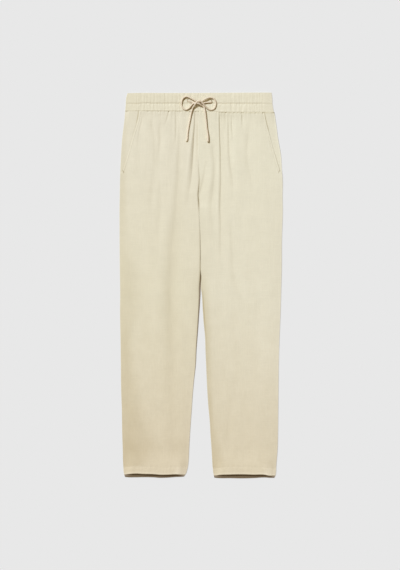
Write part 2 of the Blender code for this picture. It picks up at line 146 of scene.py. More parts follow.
def fade(distance, reach):
    """1 at an edge, dying away inside it."""
    return np.exp(-np.maximum(distance, 0) / reach)


def unevenness(u, v, seed):
    """Smooth gradient noise, about -1 to 1, with features one unit across."""
    angle = np.random.default_rng(seed).uniform(0, 2 * np.pi, (64, 64))
    u, v = np.asarray(u, float), np.asarray(v, float)
    i, j = np.floor(u).astype(int), np.floor(v).astype(int)
    fu, fv = u - i, v - j
    su, sv = fu**3 * (fu * (fu * 6 - 15) + 10), fv**3 * (fv * (fv * 6 - 15) + 10)

    def corner(di, dj):
        a = angle[(i + di) % 64, (j + dj) % 64]
        return np.cos(a) * (fu - di) + np.sin(a) * (fv - dj)

    low = corner(0, 0) * (1 - su) + corner(1, 0) * su
    high = corner(0, 1) * (1 - su) + corner(1, 1) * su
    return 1.5 * (low * (1 - sv) + high * sv)


# %% [markdown]
# ## The outline
# These are the garment's edges, in millimetres: how far down from the waistband's
# top edge, and where each edge is across. They are the frame's own outlines, so
# each panel of cloth lies just where its solid lies.

# %% Outline
HALF_LENGTH = 516.8
SIDE_WORDS = {-1: "right", 1: "left"}
COLUMN = {-1: 1, 1: 2}  # the column of a table that holds each side
# down, x of the right side, x of the left side
SIDES = numbers("""
    0 -198 189.2 | 12 -201.2 190.8 | 30 -202.4 191.9 | 44 -203.6 194.5 | 52 -204.4 197.3 |
    70 -205.8 200.2 | 89 -208.1 203 | 108 -210.6 205.3 | 127 -212.5 208.2 | 164 -214.9 214.6 |
    202 -216.9 217 | 240 -217.9 219.2 | 277 -218.6 218.8 | 315 -219.2 219.4 | 352 -219.1 218.3 |
    390 -219 217 | 465 -218.4 216.6 | 540 -217.4 214.7 | 578 -217.8 213.7 | 616 -217.4 212.2 |
    653 -216.6 210.7 | 728 -215.6 208.6 | 804 -214.6 207.8 | 841 -213.2 207.3 | 916 -211.9 206.5 |
    954 -210.6 205.5 | 991 -209.7 202.6 | 1003 -209 201.7 | 1013 -208.4 201.4 | 1022 -207.2 200.6 |
    1029 -205 198.8 | 1033 -203.4 196.2
""")
# down, x of the middle line, gap between the two legs
MIDDLE = numbers("""
    0 -6 0 | 150 -6 0 | 190 -6.4 0 | 202 -6.2 0 | 233 -4.2 0 | 252 -5.4 0 | 273 -7 0.2 | 290 -5.8 0.3 |
    313 -5.3 0.3 | 340 -4.6 0.3 | 368 -3 0.3 | 400 -2 0.4 | 440 -1.2 0.5 | 480 -1.1 0.8 | 492 -0.8 3 |
    508 -2 3.8 | 524 -2.9 4.8 | 540 -1.6 7.5 | 556 -1.4 9.2 | 572 -1.3 10.6 | 594 -1.1 13.2 |
    616 -0.9 16 | 653 -0.2 22 | 691 -0.8 25.8 | 728 -0.6 28.6 | 766 -1.8 34.2 | 804 -2.6 39.6 |
    841 -2.6 44.6 | 879 -2.2 51 | 916 -2.4 55.6 | 954 -2.1 60.4 | 991 -2 64.2 | 1004 -2.4 66.8 |
    1013 -3 70.2 | 1019 -3.5 72.2 | 1025 -4.6 77 | 1033 -6.7 84.6
""")
# down, how far the back's inner edge shows beyond the front's: on the right, on the left
BACK_SHOWS = numbers("""
    0 0 0 | 380 0.2 0.2 | 434 0.5 0.2 | 480 0.7 0.1 | 492 2.9 0.1 | 508 3.7 0.1 | 524 4.3 0.1 |
    540 3.9 0.1 | 556 3.5 0.1 | 572 3.1 0.1 | 594 2.4 0.1 | 616 2.2 0.2 | 653 1.7 0.2 | 691 1.3 0.2 |
    728 0.8 0.2 | 790 0.3 0.2 | 900 0.1 0.1 | 1033 0 0
""")
# down, distance of the right pocket's mouth from the middle, of the left one's
POCKET_MOUTH = numbers("""
    47 167.4 169.2 | 75 172.2 175 | 107 182 183.4 | 152 195 195.4 | 193 207.6 207.6 | 211 213.2 213.2
""")
POCKET_END = 211.0
# x, down of the seam under the waistband
BAND_SEAM = numbers("""
    -205 47.4 | -120 47.8 | -60 48.1 | 0 48.9 | 40 50.6 | 80 51.6 | 125 51.5 | 200 51.1
""")
# x, down of the waistband's top edge
BAND_TOP = numbers("-200 -0.4 | -180 -0.9 | -100 -0.9 | 0 -1 | 60 -1.4 | 190 -2.3")
# x, down of the front hem, down of the back hem
HEMS = numbers("""
    -209 1025.5 1029.7 | -195 1022.9 1031.3 | -180 1021.1 1031.3 | -152 1021.9 1031 |
    -130 1022.3 1031.3 | -109 1023.9 1032.7 | -87 1023.7 1032.1 | -66 1023.1 1030.4 |
    -56 1024.1 1030.2 | -47 1024.8 1029.4 | -38 1024.4 1027.6 | 33 1027.3 1031.7 | 41 1026.7 1032.9 |
    50 1024.9 1033.5 | 76 1023.5 1033.5 | 108 1022.9 1034.1 | 141 1023.7 1033.3 | 173 1024.5 1031.9 |
    184 1027 1032.7 | 200 1027.4 1032.5
""")


def side_x(side, down):
    return read(SIDES, down, COLUMN[side])


def inner_x(side, down, back=False):
    """A leg's inner edge. The back's shows a little beyond the front's."""
    edge = read(MIDDLE, down) + side * np.maximum(read(MIDDLE, down, 2), 0) / 2
    return edge - side * read(BACK_SHOWS, down, COLUMN[side]) if back else edge


def mouth_x(side, down):
    """A front panel's outer edge: the pocket mouth, then the side seam."""
    mouth = np.where(down < POCKET_END, read(POCKET_MOUTH, down, COLUMN[side]), 1e9)
    return side * np.minimum(mouth, side * side_x(side, down))


def inset(side, x, down, back=False):
    """How far inside each edge of its leg a place lies."""
    return SimpleNamespace(
        side=side * (side_x(side, down) - x),
        inner=side * (x - inner_x(side, down, back)),
        mouth=side * (mouth_x(side, down) - x),
        band=down - read(BAND_SEAM, x),
        hem=read(HEMS, x, 2 if back else 1) - down,
    )


print("width at the hip:", side_x(1, 260) - side_x(-1, 260))

# %% [markdown]
# ## Pleats
# The cloth of a gathered waist falls in long soft pleats. Each row of a table says
# how far down, where the bottom of the pleat is across, how deep it is, and how
# wide its left and right walls are. A pleat's sharpness tells a pressed fold,
# 1, from a soft trough, 2. They are laid one by one, because no two are alike.

# %% Pleat tables
RIGHT_PLEATS = {
    "beside_pocket": (1.4, numbers("""
        60 -157 0 1.6 4 | 72 -159.2 0.3 1.6 5 | 92 -164 0.45 1.7 6 | 110 -167.2 0.4 1.8 6 |
        120 -168.4 0.3 2 6 | 134 -169.7 0.2 2 6 | 148 -171 0 3 6
    """)),
    "hip": (1.9, numbers("""
        60 -133 0 4 7 | 77 -132.5 0.4 4 7 | 115 -126 0.45 5 8 | 152 -123.4 0.5 5 8 |
        190 -124.2 0.45 6 9 | 230 -126.5 0.45 6.5 10 | 270 -132.5 0.5 7 11 | 310 -136 0.3 8 12 |
        345 -138 0 9 12
    """)),
    "thigh_top": (1.3, numbers("""
        48 -87 1.1 1.6 3 | 62 -90 0.8 1.8 4 | 77 -94 0.4 2.2 5 | 92 -99 0 3 6
    """)),
    "thigh": (1.6, numbers("""
        76 -108 0 5 7 | 96 -110.5 0.6 5 8 | 125 -109.5 0.8 4.5 9 | 152 -112 0.7 5 9 | 190 -114 0.4 6 9 |
        230 -111 0.2 6 10 | 270 -109.5 0.4 6 10 | 311 -109 0.4 7 11 | 351 -113 0.4 7 11 |
        405 -114.4 0.3 7 12 | 450 -115 0 7 12
    """)),
    "short": (1.4, numbers("""
        46 -67 0.6 1.6 5 | 77 -66.6 0.9 2.4 7 | 115 -67.5 0.75 2.4 8 | 135 -68 0.3 3 8 | 150 -68 0 3 8
    """)),
    "long": (1.7, numbers("""
        70 -58 0 3 6 | 115 -57.5 0.6 4 10 | 152 -58.5 0.7 5 12 | 190 -60.4 1 6 14 | 230 -60.8 1 7 16 |
        270 -64 1.1 8 18 | 311 -66 1.1 9 20 | 351 -69.6 1.3 12 24 | 405 -77 1.4 14 26 |
        458 -80 1.5 15 26 | 512 -81 1.6 16 24 | 566 -82 1.8 17 24 | 620 -80 1.6 18 24 |
        673 -77 1.3 17 24 | 727 -76 1 18 24 | 780 -77 0.9 24 24 | 834 -78 0.8 24 26 |
        888 -76 0.6 18 28 | 941 -74 0.45 14 28 | 990 -74 0 14 28
    """)),
    "centre": (1.3, numbers("""
        48 -16 1.4 2 7 | 77 -16.2 1.5 2.2 8 | 115 -18.8 2.5 2.6 9 | 152 -20.4 3.1 4.2 10 |
        190 -22.8 2.5 5 11 | 230 -26.5 1.5 5.5 12 | 270 -32.5 0.7 6.5 13 | 310 -38 0 8 14
    """)),
    "beside_centre": (1.6, numbers("""
        85 -11 0 2.4 5 | 104 -10.2 0.3 2.4 6 | 130 -10.4 0.35 2.4 6 | 152 -10 0.15 2.4 6 | 170 -9 0 2 4
    """)),
}
LEFT_PLEATS = {
    "centre": (1.3, numbers("""
        46 48.9 1.6 1.1 22 | 77 49.6 2.1 1.3 24 | 115 50.6 1.8 1.5 24 | 135 51.8 1.9 2 22 |
        152 52.6 2 2.4 20 | 190 53.4 1.9 3 18 | 230 53.5 1.8 3.2 18 | 270 52.4 1.9 3 18 |
        311 51.8 1.6 3.2 18 | 351 53 1 3.4 16 | 405 52.7 0.6 3.4 14 | 458 53 0 5 14
    """)),
    "inner": (1.8, numbers("""
        120 32 0 5 9 | 152 33 0.8 5.5 9 | 190 37 0.95 5 10 | 230 36 0.95 5 11 | 270 31.5 1 6 12 |
        311 28 0.7 6 13 | 351 32.5 0.3 6.5 12 | 400 33 0 7 12
    """)),
    "crotch": (1.6, numbers("""
        175 18 0 4 7 | 200 12 0.4 4 8 | 230 6.8 0.7 4 9 | 250 2.4 0.8 4 10 | 264 -1.4 0.7 4 10 |
        280 -5 0.3 4 10 | 295 -6 0 4 10
    """)),
    "thigh": (1.5, numbers("""
        48 72 0.4 1.8 5 | 66 73.2 0.5 2 5 | 86 74 0.85 2.2 6 | 115 74.8 0.95 2.8 7 | 152 75.6 1 3.2 8 |
        190 78.6 1 3.8 9 | 230 84.8 0.9 5 10 | 270 87 0.3 6 11 | 310 86 0 7 11
    """)),
    "thigh_inner": (1.2, numbers("48 65.5 0.8 2.2 4 | 77 66.4 0.5 2.4 4 | 98 67 0 2.4 4")),
    "thigh_outer": (1.2, numbers("""
        48 82.5 0.5 2.2 4 | 66 82.5 0.7 2 4 | 86 82.6 1.2 2 5 | 110 84.5 0.7 2.5 5 | 140 86 0 3 5
    """)),
    "short": (1.2, numbers("""
        47 109 1.5 1.6 4 | 60 110.2 1.5 1.8 5 | 77 110.8 0.9 2.2 6 | 100 111 0 3 6
    """)),
    "hip": (1.6, numbers("""
        70 128 0 4 6 | 90 129 0.25 4 7 | 115 127.4 0.4 4.5 8 | 152 123.8 0.5 5 9 | 190 126.4 0.5 5 9 |
        230 134.5 0.4 6 10 | 260 141 0.2 7 11 | 290 148 0 7 12
    """)),
    "knee": (1.7, numbers("""
        330 80 0 4 9 | 380 82.5 0.45 4.5 12 | 421 85 0.5 5 13 | 474 87 0.55 6 14 | 500 91 0.6 7 14 |
        520 98 0.5 7 13 | 550 110 0.35 6.5 12 | 590 122 0 6 12
    """)),
    "shin": (1.8, numbers("""
        560 84 0 8 12 | 610 88 0.3 8 13 | 660 97 0.2 9 14 | 720 101 0.12 9 14 | 790 92 0.15 9 14 |
        850 80 0.5 9 15 | 900 76 0.55 9 15 | 945 71 0.3 9 15 | 985 68 0 9 15
    """)),
}
PLEATS = {-1: RIGHT_PLEATS, 1: LEFT_PLEATS}
LIP = 0.12  # the roll beside a pleat, as a share of its depth


def pleated(pleats, x, down, lip=LIP, mirror=1):
    """How far the pleats lower the cloth."""
    total = np.zeros(np.broadcast(x, down).shape)
    for sharpness, rows in pleats:
        inside = (down >= rows[0, 0]) & (down <= rows[-1, 0])
        middle, depth = mirror * read(rows, down), np.maximum(read(rows, down, 2), 0) * inside
        wall = np.where(x < middle, read(rows, down, 3), read(rows, down, 4))
        away = np.abs(x - middle) / np.maximum(wall, 0.5)
        total += depth * np.exp(-1.1 * away**sharpness)
        total -= depth * lip * bell(away, 2.1, 0.9)
    return total


print("pleats laid by hand:", len(RIGHT_PLEATS) + len(LEFT_PLEATS))

# %% [markdown]
# ## Gathers
# The elastic draws the cloth up into some three dozen small gathers across the
# front. Each starts in the waistband's seam as a dark pinch and fades out further
# down. Their places are uneven but fixed by a seed, so they come out the same each
# time, and the strongest pinches are listed one by one.

# %% Gathers
GATHER_PITCH = 10.6
FIRST_GATHER, LAST_GATHER = -198.0, 190  # x
rng = np.random.default_rng(12)
gather_x = [FIRST_GATHER]
while gather_x[-1] < LAST_GATHER:
    gather_x.append(gather_x[-1] + GATHER_PITCH * rng.uniform(0.62, 1.4))
gather_x = np.array(gather_x[:-1])
gather_depth = rng.uniform(0.35, 1.0, len(gather_x))
gather_reach = rng.uniform(6, 20, len(gather_x)) * (0.6 + gather_depth)
gather_wall = rng.uniform(1.7, 3.0, len(gather_x))
gather_lean = rng.uniform(-0.06, 0.06, len(gather_x))
# x of the deepest pinches in the waistband's seam, depth
PINCHES = numbers("""
    -168 1 | -143.9 1 | -114.3 1.3 | -96.9 0.6 | -86.4 1.1 | -63.3 0.6 | -55.3 1.2 | -30 0.8 | 24 0.7 |
    49.4 0.5 | 66.8 1 | 87 0.8 | 98.2 1 | 108.4 1.3 | 147 1.3 | 155.4 0.7 | 166.7 1.7
""")


def gathered(x, down):
    """How far the gathers lower the cloth under the waistband's seam."""
    below = down - read(BAND_SEAM, x)
    total = np.zeros(np.broadcast(x, down).shape)
    each = zip(gather_x, gather_depth, gather_reach, gather_wall, gather_lean)
    for at, depth, reach, wall, lean in each:
        wide = wall * (1 + np.maximum(below, 0) / 40)
        total += 0.6 * depth * bell(x, at + lean * below, wide) * fade(below, reach)
    for at, depth in PINCHES:
        total += depth * bell(x, at, 1.6) * bell(below, 1.0, 3.2)
    return total


print("gathers across the front:", len(gather_x))

# %% [markdown]
# ## The height of the front
# Laid flat, the front rises in a tight roll from each seam and then lies a few
# millimetres over the back. It stands higher over the pocket facing, dips into the
# waistband's seam and the centre seam, and its hem lifts off the back one. Linen is
# never quite smooth, so long waves that follow the pleats and a faint crumple are
# added over it all.

# %% Front height
CLOTH = 0.55  # one layer of linen; all heights here are in millimetres over the table
EDGE_Z = 1.5  # top of the front where it meets the back
LOFT = 3.6
ROLL = 1.6  # how far in from an edge the tight roll goes
SLOPE = 26  # how far in the gentle slope goes
SIDE_ROLL = {-1: 0.1, 1: 0.03}  # share of the loft that the roll at the side seam takes up
FACING_LOFT = 2.1
MOUTH_WALL = 0.6  # the pocket's edge is turned in
MOUTH_GAP = {-1: -0.15, 1: 0.2}  # how loosely it lies on the facing
CREASE_WALL = {-1: 1.8, 1: 28.0}  # how far the crease between the legs reaches into each
LOWEST = 1.4  # a pleat doesn't push through the back
SOFTNESS = 8  # how sharply a pleat's bottom flattens there
HEM_LIFT = 4.2
HEM_TURN = 21.0  # how far up the hem is turned and stitched
# down, depth of the crease between the legs, how far the legs have parted
CREASE = numbers("""
    0 0 0 | 172 0 0 | 193 0.6 0 | 206 0.9 0 | 233 1.5 0 | 252 2.3 0 | 273 2.9 0 | 295 2.7 0 | 308 1 0 |
    316 0.6 0 | 352 0.4 0 | 381 0.8 0.02 | 434 1.3 0.06 | 474 2 0.2 | 488 1.8 0.5 | 520 0.6 0.9 |
    560 0 1
""")


def rise(from_edge, tight=0.1):
    """0 at a seam to 1 well inside it: a tight roll, then a gentle slope."""
    roll = np.sqrt(np.clip(1 - (1 - np.clip(from_edge / ROLL, 0, 1)) ** 2, 0, 1))
    return tight * roll + (1 - tight) * (1 - fade(from_edge, SLOPE))


def facing_height(side, x, down):
    """Top of a pocket facing over the table."""
    at = inset(side, x, down)
    wave = 0.2 * unevenness(x / 26, down / 60, 7) * ease(at.side / 10)
    swell = 1.9 * fade(at.band, 20) * ease(at.side / 12)
    return EDGE_Z + FACING_LOFT * rise(at.side, SIDE_ROLL[side]) + wave + swell


def crumple(x, down):
    """The faint uneven surface of washed linen."""
    fine = 0.045 * unevenness(x / 9 + 0.3 * down / 30, down / 14, 3)
    wide = 0.06 * unevenness(x / 21, down / 38 + 5, 4) + 0.12 * unevenness(x / 46 + 3, down / 70, 5)
    return fine + wide


def front_height(side, x, down):
    """Top of a front panel over the table."""
    at = inset(side, x, down)
    parted = read(CREASE, down, 2)
    height = EDGE_Z + LOFT * rise(at.side, SIDE_ROLL[side]) * (1 - parted * (1 - rise(at.inner)))
    over_facing = facing_height(side, x, down) + MOUTH_WALL + MOUTH_GAP[side]
    pocket = 1 - ease((down - POCKET_END - 6) / 34)
    height = height + pocket * np.maximum(over_facing - height, 0)
    # The crease between the legs and the waistband's seam are drawn down.
    height -= read(CREASE, down) * np.exp(-((np.maximum(at.inner, 0) / CREASE_WALL[side]) ** 1.4))
    height -= 0.4 * fade(at.band, 1.5)
    # Waves that follow the pleats, strongest under the waist.
    waves = unevenness(x / 13 + 0.15 * unevenness(x / 40, down / 90, 8), down / 170, 1)
    height += 0.2 * waves * fade(at.band, 190) * ease(at.band / 12)
    height += 0.26 * unevenness(x / 34, down / 300 + 2, 2) * ease(at.band / 80)
    height += crumple(x, down) * ease(at.band / 6)
    if side > 0:
        # A patch of fine cross wrinkles low on the left leg, where it was folded.
        patch = np.exp(-(((x - 122) / 52) ** 4)) * bell(down, 715, 42)
        height += 0.1 * unevenness(x / 26, down / 6.5 + x / 60, 10) * patch
    # The hem lifts, and its stitches pucker it.
    height += HEM_LIFT * ease(1 - at.hem / 70) * ease(np.minimum(at.side, at.inner) / SLOPE)
    height += 0.22 * unevenness(x / 6.5, down / 30, 6) * bell(at.hem, HEM_TURN - 2, 8)
    height -= 0.22 * bell(at.hem, HEM_TURN, 1.5)
    in_pocket = ease((POCKET_END + 4 - down) / 12)
    if side < 0:
        in_pocket = in_pocket * (1 - 0.7 * ease((down - 78) / 25))  # pressed flatter here
    height += in_pocket * 0.14 * unevenness(at.mouth / 5, down / 7.5, 9) * bell(at.mouth, 5, 5)
    height -= in_pocket * 0.1 * bell(at.mouth, 5.5, 1.2)
    sunk = pleated(PLEATS[side].values(), x, down) * (0.35 + 0.65 * ease(at.band / 16))
    height -= sunk + gathered(x, down)
    return LOWEST + np.log1p(np.exp((height - LOWEST) * SOFTNESS)) / SOFTNESS


print("front height at the thigh:", front_height(1, np.array([100.0]), np.array([300.0])))

# %% [markdown]
# ## Tone
# Most of the tone is painted light and shade: painted shade where a pleat is pressed
# in, along the seams and the crease and towards the edges that turn away, and painted
# light and a painted highlight along the folded edges of the hem. Only a faint mottle
# is the linen's own. Those places follow the cut, so the tone is worked out from the
# same tables and kept on each point of the cloth.

# %% Tone
# painted shade along the right leg's outer edge, then along the left leg's inner one:
# down, how much darker, over how many flat mm, fading over how many mm
OUTER_SHADE = numbers("""
    0 0.04 3 8 | 48 0.04 3 8 | 115 0.06 6 10 | 230 0.07 8 15 | 311 0.08 8 18 | 405 0.07 5 35 |
    458 0.09 6 50 | 512 0.1 6 72 | 566 0.1 6 72 | 620 0.11 10 46 | 673 0.12 8 36 | 727 0.13 12 36 |
    780 0.13 12 48 | 834 0.13 16 58 | 888 0.14 18 76 | 941 0.14 20 90 | 975 0.15 20 80 | 1015 0.15 14 60
""")
INNER_SHADE = numbers("""
    300 0 0 25 | 400 0.04 0 25 | 450 0.08 0 25 | 512 0.11 0 28 | 566 0.14 0 26 | 620 0.15 0 26 |
    673 0.15 0 22 | 727 0.14 0 22 | 780 0.12 0 20 | 834 0.11 6 10 | 888 0.11 0 16 | 941 0.09 3 28 |
    990 0.11 12 28 | 1015 0.11 10 28
""")
# down, painted shade along the crease between the legs, at the right leg's inner edge, at the left leg's
CREASE_SHADE = numbers("""
    186 0 0 0 | 204 0.06 0 0 | 233 0.1 0 0 | 270 0.1 0 0 | 285 0.18 0 0 | 300 0.24 0 0 | 315 0.1 0 0 |
    352 0.05 0 0 | 395 0.12 0 0 | 434 0.04 0.1 0 | 474 0.05 0.08 0 | 490 0.08 0 0 | 510 0 0.02 0.02 |
    540 0 0.05 0.14 | 575 0 0.04 0.24 | 620 0 0.1 0.15 | 660 0 0.08 0.07 | 760 0 0 0.04 | 1030 0 0 0.04
""")
# down, how dark the painted shadow along the pocket mouth is on the right, on the left
MOUTH_SHADOW = numbers("""
    46 0.14 0.04 | 54 0.36 0.16 | 66 0.38 0.26 | 74 0.32 0.26 | 84 0.14 0.26 | 93 0.1 0.26 |
    102 0.09 0.06 | 112 0.05 -0.03 | 150 0.02 -0.03 | 170 0.02 0.04 | 195 0.03 0.08 | 211 0.05 0.1
""")


def seam_shadow(side, x, down):
    """Painted shadow along the waistband's seam and the pocket mouth."""
    at = inset(side, x, down)
    line = read(MOUTH_SHADOW, down, COLUMN[side]) * (down < POCKET_END + 3)
    seam = 0.11 + 0.10 * ease((x - 20) / 60) + 0.12 * ease((x - 100) / 25)
    seam += 0.05 * unevenness(x / 8, down * 0, 34)
    tone = -line * bell(at.mouth, -0.2, 1.2) - seam * bell(at.band, 0.3, 1.3)
    if side < 0:
        # The mouth's edge faces the light here; painted shade dulls its highlight.
        tone -= between(down, 74, 20, 185, 20) * 0.06 * bell(at.mouth, 1.2, 1.6)
    return tone


def shaded(table, away, down, above_hem=99.0):
    """How much painted shade an edge that turns away puts on the cloth, above the hem's turn."""
    gone = 1 - ease((away - read(table, down, 2)) / read(table, down, 3))
    free = 0.35 + 0.65 * ease((above_hem - HEM_TURN + 3) / 5)
    return read(table, down, 1) * gone * free + 0.03 * fade(away, SLOPE)


def lit_edge(away, down):
    """How much painted light brightens the edge that turns from the light."""
    upper = 1 - ease((down - 200) / 150)
    knee = 0.034 * bell(down, 690, 120) * ease((88 - away) / 45)
    return knee + (0.035 + 0.02 * upper) * fade(away, SLOPE) + 0.06 * fade(away, 2.5)


def front_tone(side, x, down):
    """How much lighter than its finish a front panel is at each place: painted light and shade, and a faint
    mottle.
    """
    at = inset(side, x, down)
    parted = read(CREASE, down, 2)
    # Painted shade in the pleats and gathers, along the seams and in the crease.
    tone = -0.02 * pleated(PLEATS[side].values(), x, down) - 0.02 * gathered(x, down)
    tone += seam_shadow(side, x, down)
    tone -= read(CREASE_SHADE, down) * bell(at.inner, 0, 1.3)
    if side < 0:
        tone -= shaded(OUTER_SHADE, at.side, down, at.hem)
        tone -= read(CREASE_SHADE, down, 2) * bell(at.inner, 0, 1.4)
        # Painted shade lies faintly along the hip, and beside the pressed centre seam.
        tone -= 0.028 * bell(down, 245, 45) * fade(at.side, 30)
        tone -= between(down, 50, 15, 170, 30) * 0.045 * bell(at.inner, 5, 4)
        tone -= between(down, 75, 15, 140, 20) * 0.06 * bell(at.inner, 3.2, 2)
        # More painted shade in the long pleat, painted light and shade at the inner edge as the legs part,
        # and a slightly darker band low on the leg.
        tone -= 0.02 * pleated([RIGHT_PLEATS["long"]], x, down)
        low = ease((down - 700) / 100)
        tone += parted * (0.03 * fade(at.inner, SLOPE) - 0.05 * (1 - low) * (1 - ease(at.inner / 8)))
        tone += 0.05 * low * bell(at.inner, 0, 5) - 0.03 * bell(down, 955, 24)
    else:
        # Painted shade along the inner edge and the crease, painted light along the side edge, and a little
        # painted shade inside the inner edge.
        tone -= parted * shaded(INNER_SHADE, at.inner, down, at.hem) * (0.6 + 0.4 * ease(at.inner / 3))
        tone -= read(CREASE_SHADE, down, 3) * bell(at.inner, 2.4, 1.5)
        tone += lit_edge(at.side, down) - 0.045 * ease((down - 200) / 60) * fade(at.inner, 35)
    # The hem's turned band is a little lighter, and its folded edge has a painted highlight.
    tone += 0.012 * (1 - ease((at.hem - HEM_TURN) / 1.5))
    tone += 0.15 * bell(at.hem, 2.8, 2.2)
    # Painted light brightens the sides of the hem that turn from the light.
    turned = at.inner if side < 0 else at.side
    tone += 0.08 * ease(1 - at.hem / 60) * bell(turned, 5, 6)
    tone += 0.23 * ease(1 - at.hem / 36) * bell(turned, 18, 11)
    mottle = 0.010 * unevenness(x / 11, down / 16, 31) + 0.014 * unevenness(x / 27, down / 40, 32)
    mottle += 0.014 * ease((down - 560) / 250) * unevenness(x / 5.5, down / 6.5, 35)
    return tone + (0.6 + 0.6 * ease((down - 380) / 300)) * mottle


print("tone at the right knee's edge:", front_tone(-1, np.array([-215.0]), np.array([560.0])).round(3))

# %% [markdown]
# ## Cloth as a thin shell
# A panel starts as a grid of points with a height at each. The shell gets its
# underside by moving each point along the surface's normal by the thickness there,
# and a rim closes the edges. The grid's own flat distances become its UV map, in
# metres, so the weave later follows the cut of the cloth.

# %% Shell maker
EDGE_STEPS = np.array([0, 0.25, 0.8, 1.6, 2.6, 4.0])  # columns close to an edge


def to_world(x, down, height):
    x, down, height = np.broadcast_arrays(x, down, height)
    return np.stack([x * MM, (HALF_LENGTH - down) * MM, height * MM], axis=-1)


def mesh_piece(name, points, faces, finishes, uv_name, uv):
    """A smooth mesh with a place in its UV map for each corner of each face."""
    data = bpy.data.meshes.new(name)
    data.from_pydata(points.tolist(), [], faces)
    data.uv_layers.new(name=uv_name).data.foreach_set("uv", np.array(uv, np.float32).ravel())
    for material in finishes:
        data.materials.append(material)
    data.shade_smooth()
    print(f"{name}: {len(faces)} faces")
    return place(name, data)


def shell(name, grid, height, wall, finishes, tone, under_tone=None, upper=0, lower=0):
    """A closed sheet of cloth; upper and lower say which finish each side has."""
    x, down = grid
    top = to_world(x, down, height)
    normal = np.cross(np.gradient(top, axis=0), np.gradient(top, axis=1))
    normal /= np.maximum(np.linalg.norm(normal, axis=-1, keepdims=True), 1e-12)
    normal *= np.where(normal[..., 2:3] < 0, -1, 1)
    low = top - normal * (np.broadcast_to(wall, x.shape) * MM)[..., None]
    index = np.arange(x.size).reshape(x.shape)
    a, b, c, d = index[:-1, :-1], index[1:, :-1], index[1:, 1:], index[:-1, 1:]
    over = np.stack([a, b, c, d], axis=-1).reshape(-1, 4)
    under = np.stack([a, d, c, b], axis=-1).reshape(-1, 4) + x.size
    ring = np.concatenate([index[0], index[1:, -1], index[-1, -2::-1], index[-2:0:-1, 0]])
    after = np.roll(ring, -1)
    rim = np.stack([ring, after, after + x.size, ring + x.size], axis=-1)
    faces = np.concatenate([over, under, rim])
    if top[1, 0, 1] < top[0, 0, 1] and top[0, 1, 0] < top[0, 0, 0]:
        faces = faces[:, ::-1]
    cut = np.stack([x * MM, down * -MM], axis=-1).reshape(-1, 2)
    points = np.concatenate([top.reshape(-1, 3), low.reshape(-1, 3)])
    made = mesh_piece(name, points, faces.tolist(), finishes, "cut", cut[faces.ravel() % x.size])
    sides = (tone, tone if under_tone is None else under_tone)
    tones = np.concatenate([np.broadcast_to(t, x.shape).ravel() for t in sides])
    layer = made.data.attributes.new("tone", "FLOAT", "POINT").data
    layer.foreach_set("value", tones.astype(np.float32))
    finish_index = np.repeat([upper, lower], [len(over), len(under) + len(rim)])
    made.data.polygons.foreach_set("material_index", finish_index)
    return made


def spread(start, end, count):
    """Columns from start to end: fixed steps near both edges, even ones between."""
    steps = np.sign(end - start) * EDGE_STEPS
    inside = np.linspace(0, 1, count + 2)[1:-1]
    low, high = start + steps[-1], end - steps[-1]
    return np.concatenate([start + steps, low + (high - low) * inside, (end - steps)[::-1]])


# %% [markdown]
# ## Linen
# Linen is a plain weave of uneven flax threads. Three things make it read as
# linen: the weave itself, under a millimetre across, the slubs, which are thicker
# stretches of thread that run a few centimetres along or across the cloth, and a
# slight change of tone where it was washed and pressed. The weave and the slubs
# are one node group, used by every cloth here.


# %% Node helpers
def add(tree, kind, inputs=(), output=0, **settings):
    """Adds a node, sets or links its inputs, and gives one of its outputs."""
    made = tree.nodes.new(kind if "Node" in kind else tree.bl_idname.removesuffix("Tree") + kind)
    for key, value in settings.items():
        setattr(made, key, value)
    for key, value in dict(inputs).items():
        if isinstance(value, bpy.types.NodeSocket):
            tree.links.new(value, made.inputs[key])
        else:
            made.inputs[key].default_value = value
    return made.outputs[output]


def maths(tree, operation, *values):
    return add(tree, "Math", dict(enumerate(values)), operation=operation)


def new_group(name, kind, inputs, outputs):
    """A node group: its tree, and the sockets of what goes in and what comes out."""
    tree = bpy.data.node_groups.new(name, kind)
    for label, (socket, value) in inputs.items():
        made = tree.interface.new_socket(label, in_out="INPUT", socket_type="NodeSocket" + socket)
        if value is not None:
            made.default_value = value
    for label, socket in outputs.items():
        tree.interface.new_socket(label, in_out="OUTPUT", socket_type="NodeSocket" + socket)
    return tree, tree.nodes.new("NodeGroupInput").outputs, tree.nodes.new("NodeGroupOutput").inputs


def new_finish(name, **values):
    """A material, its nodes, and its shader's inputs with these values set."""
    made = bpy.data.materials.new(name)
    made.use_nodes = True
    shader = made.node_tree.nodes["Principled BSDF"].inputs
    for label, value in values.items():
        shader[label.replace("_", " ")].default_value = value
    return made, made.node_tree, shader


def ramp(tree, share, *stops):
    """A colour for each share, from stops of position and colour."""
    colour = add(tree, "ValToRGB", {"Fac": share})
    marks = colour.node.color_ramp.elements
    for i, (position, paint_here) in enumerate(stops):
        mark = marks[i] if i < 2 else marks.new(position)
        mark.position, mark.color = position, (*paint_here, 1)
    return colour


def paint(red, green, blue):
    """A screen colour, 0 to 255, as the light it stands for."""
    return tuple(((c / 255 + 0.055) / 1.055) ** 2.4 for c in (red, green, blue))


# %% Weave group
THREADS = 1500.0  # in a metre of cloth


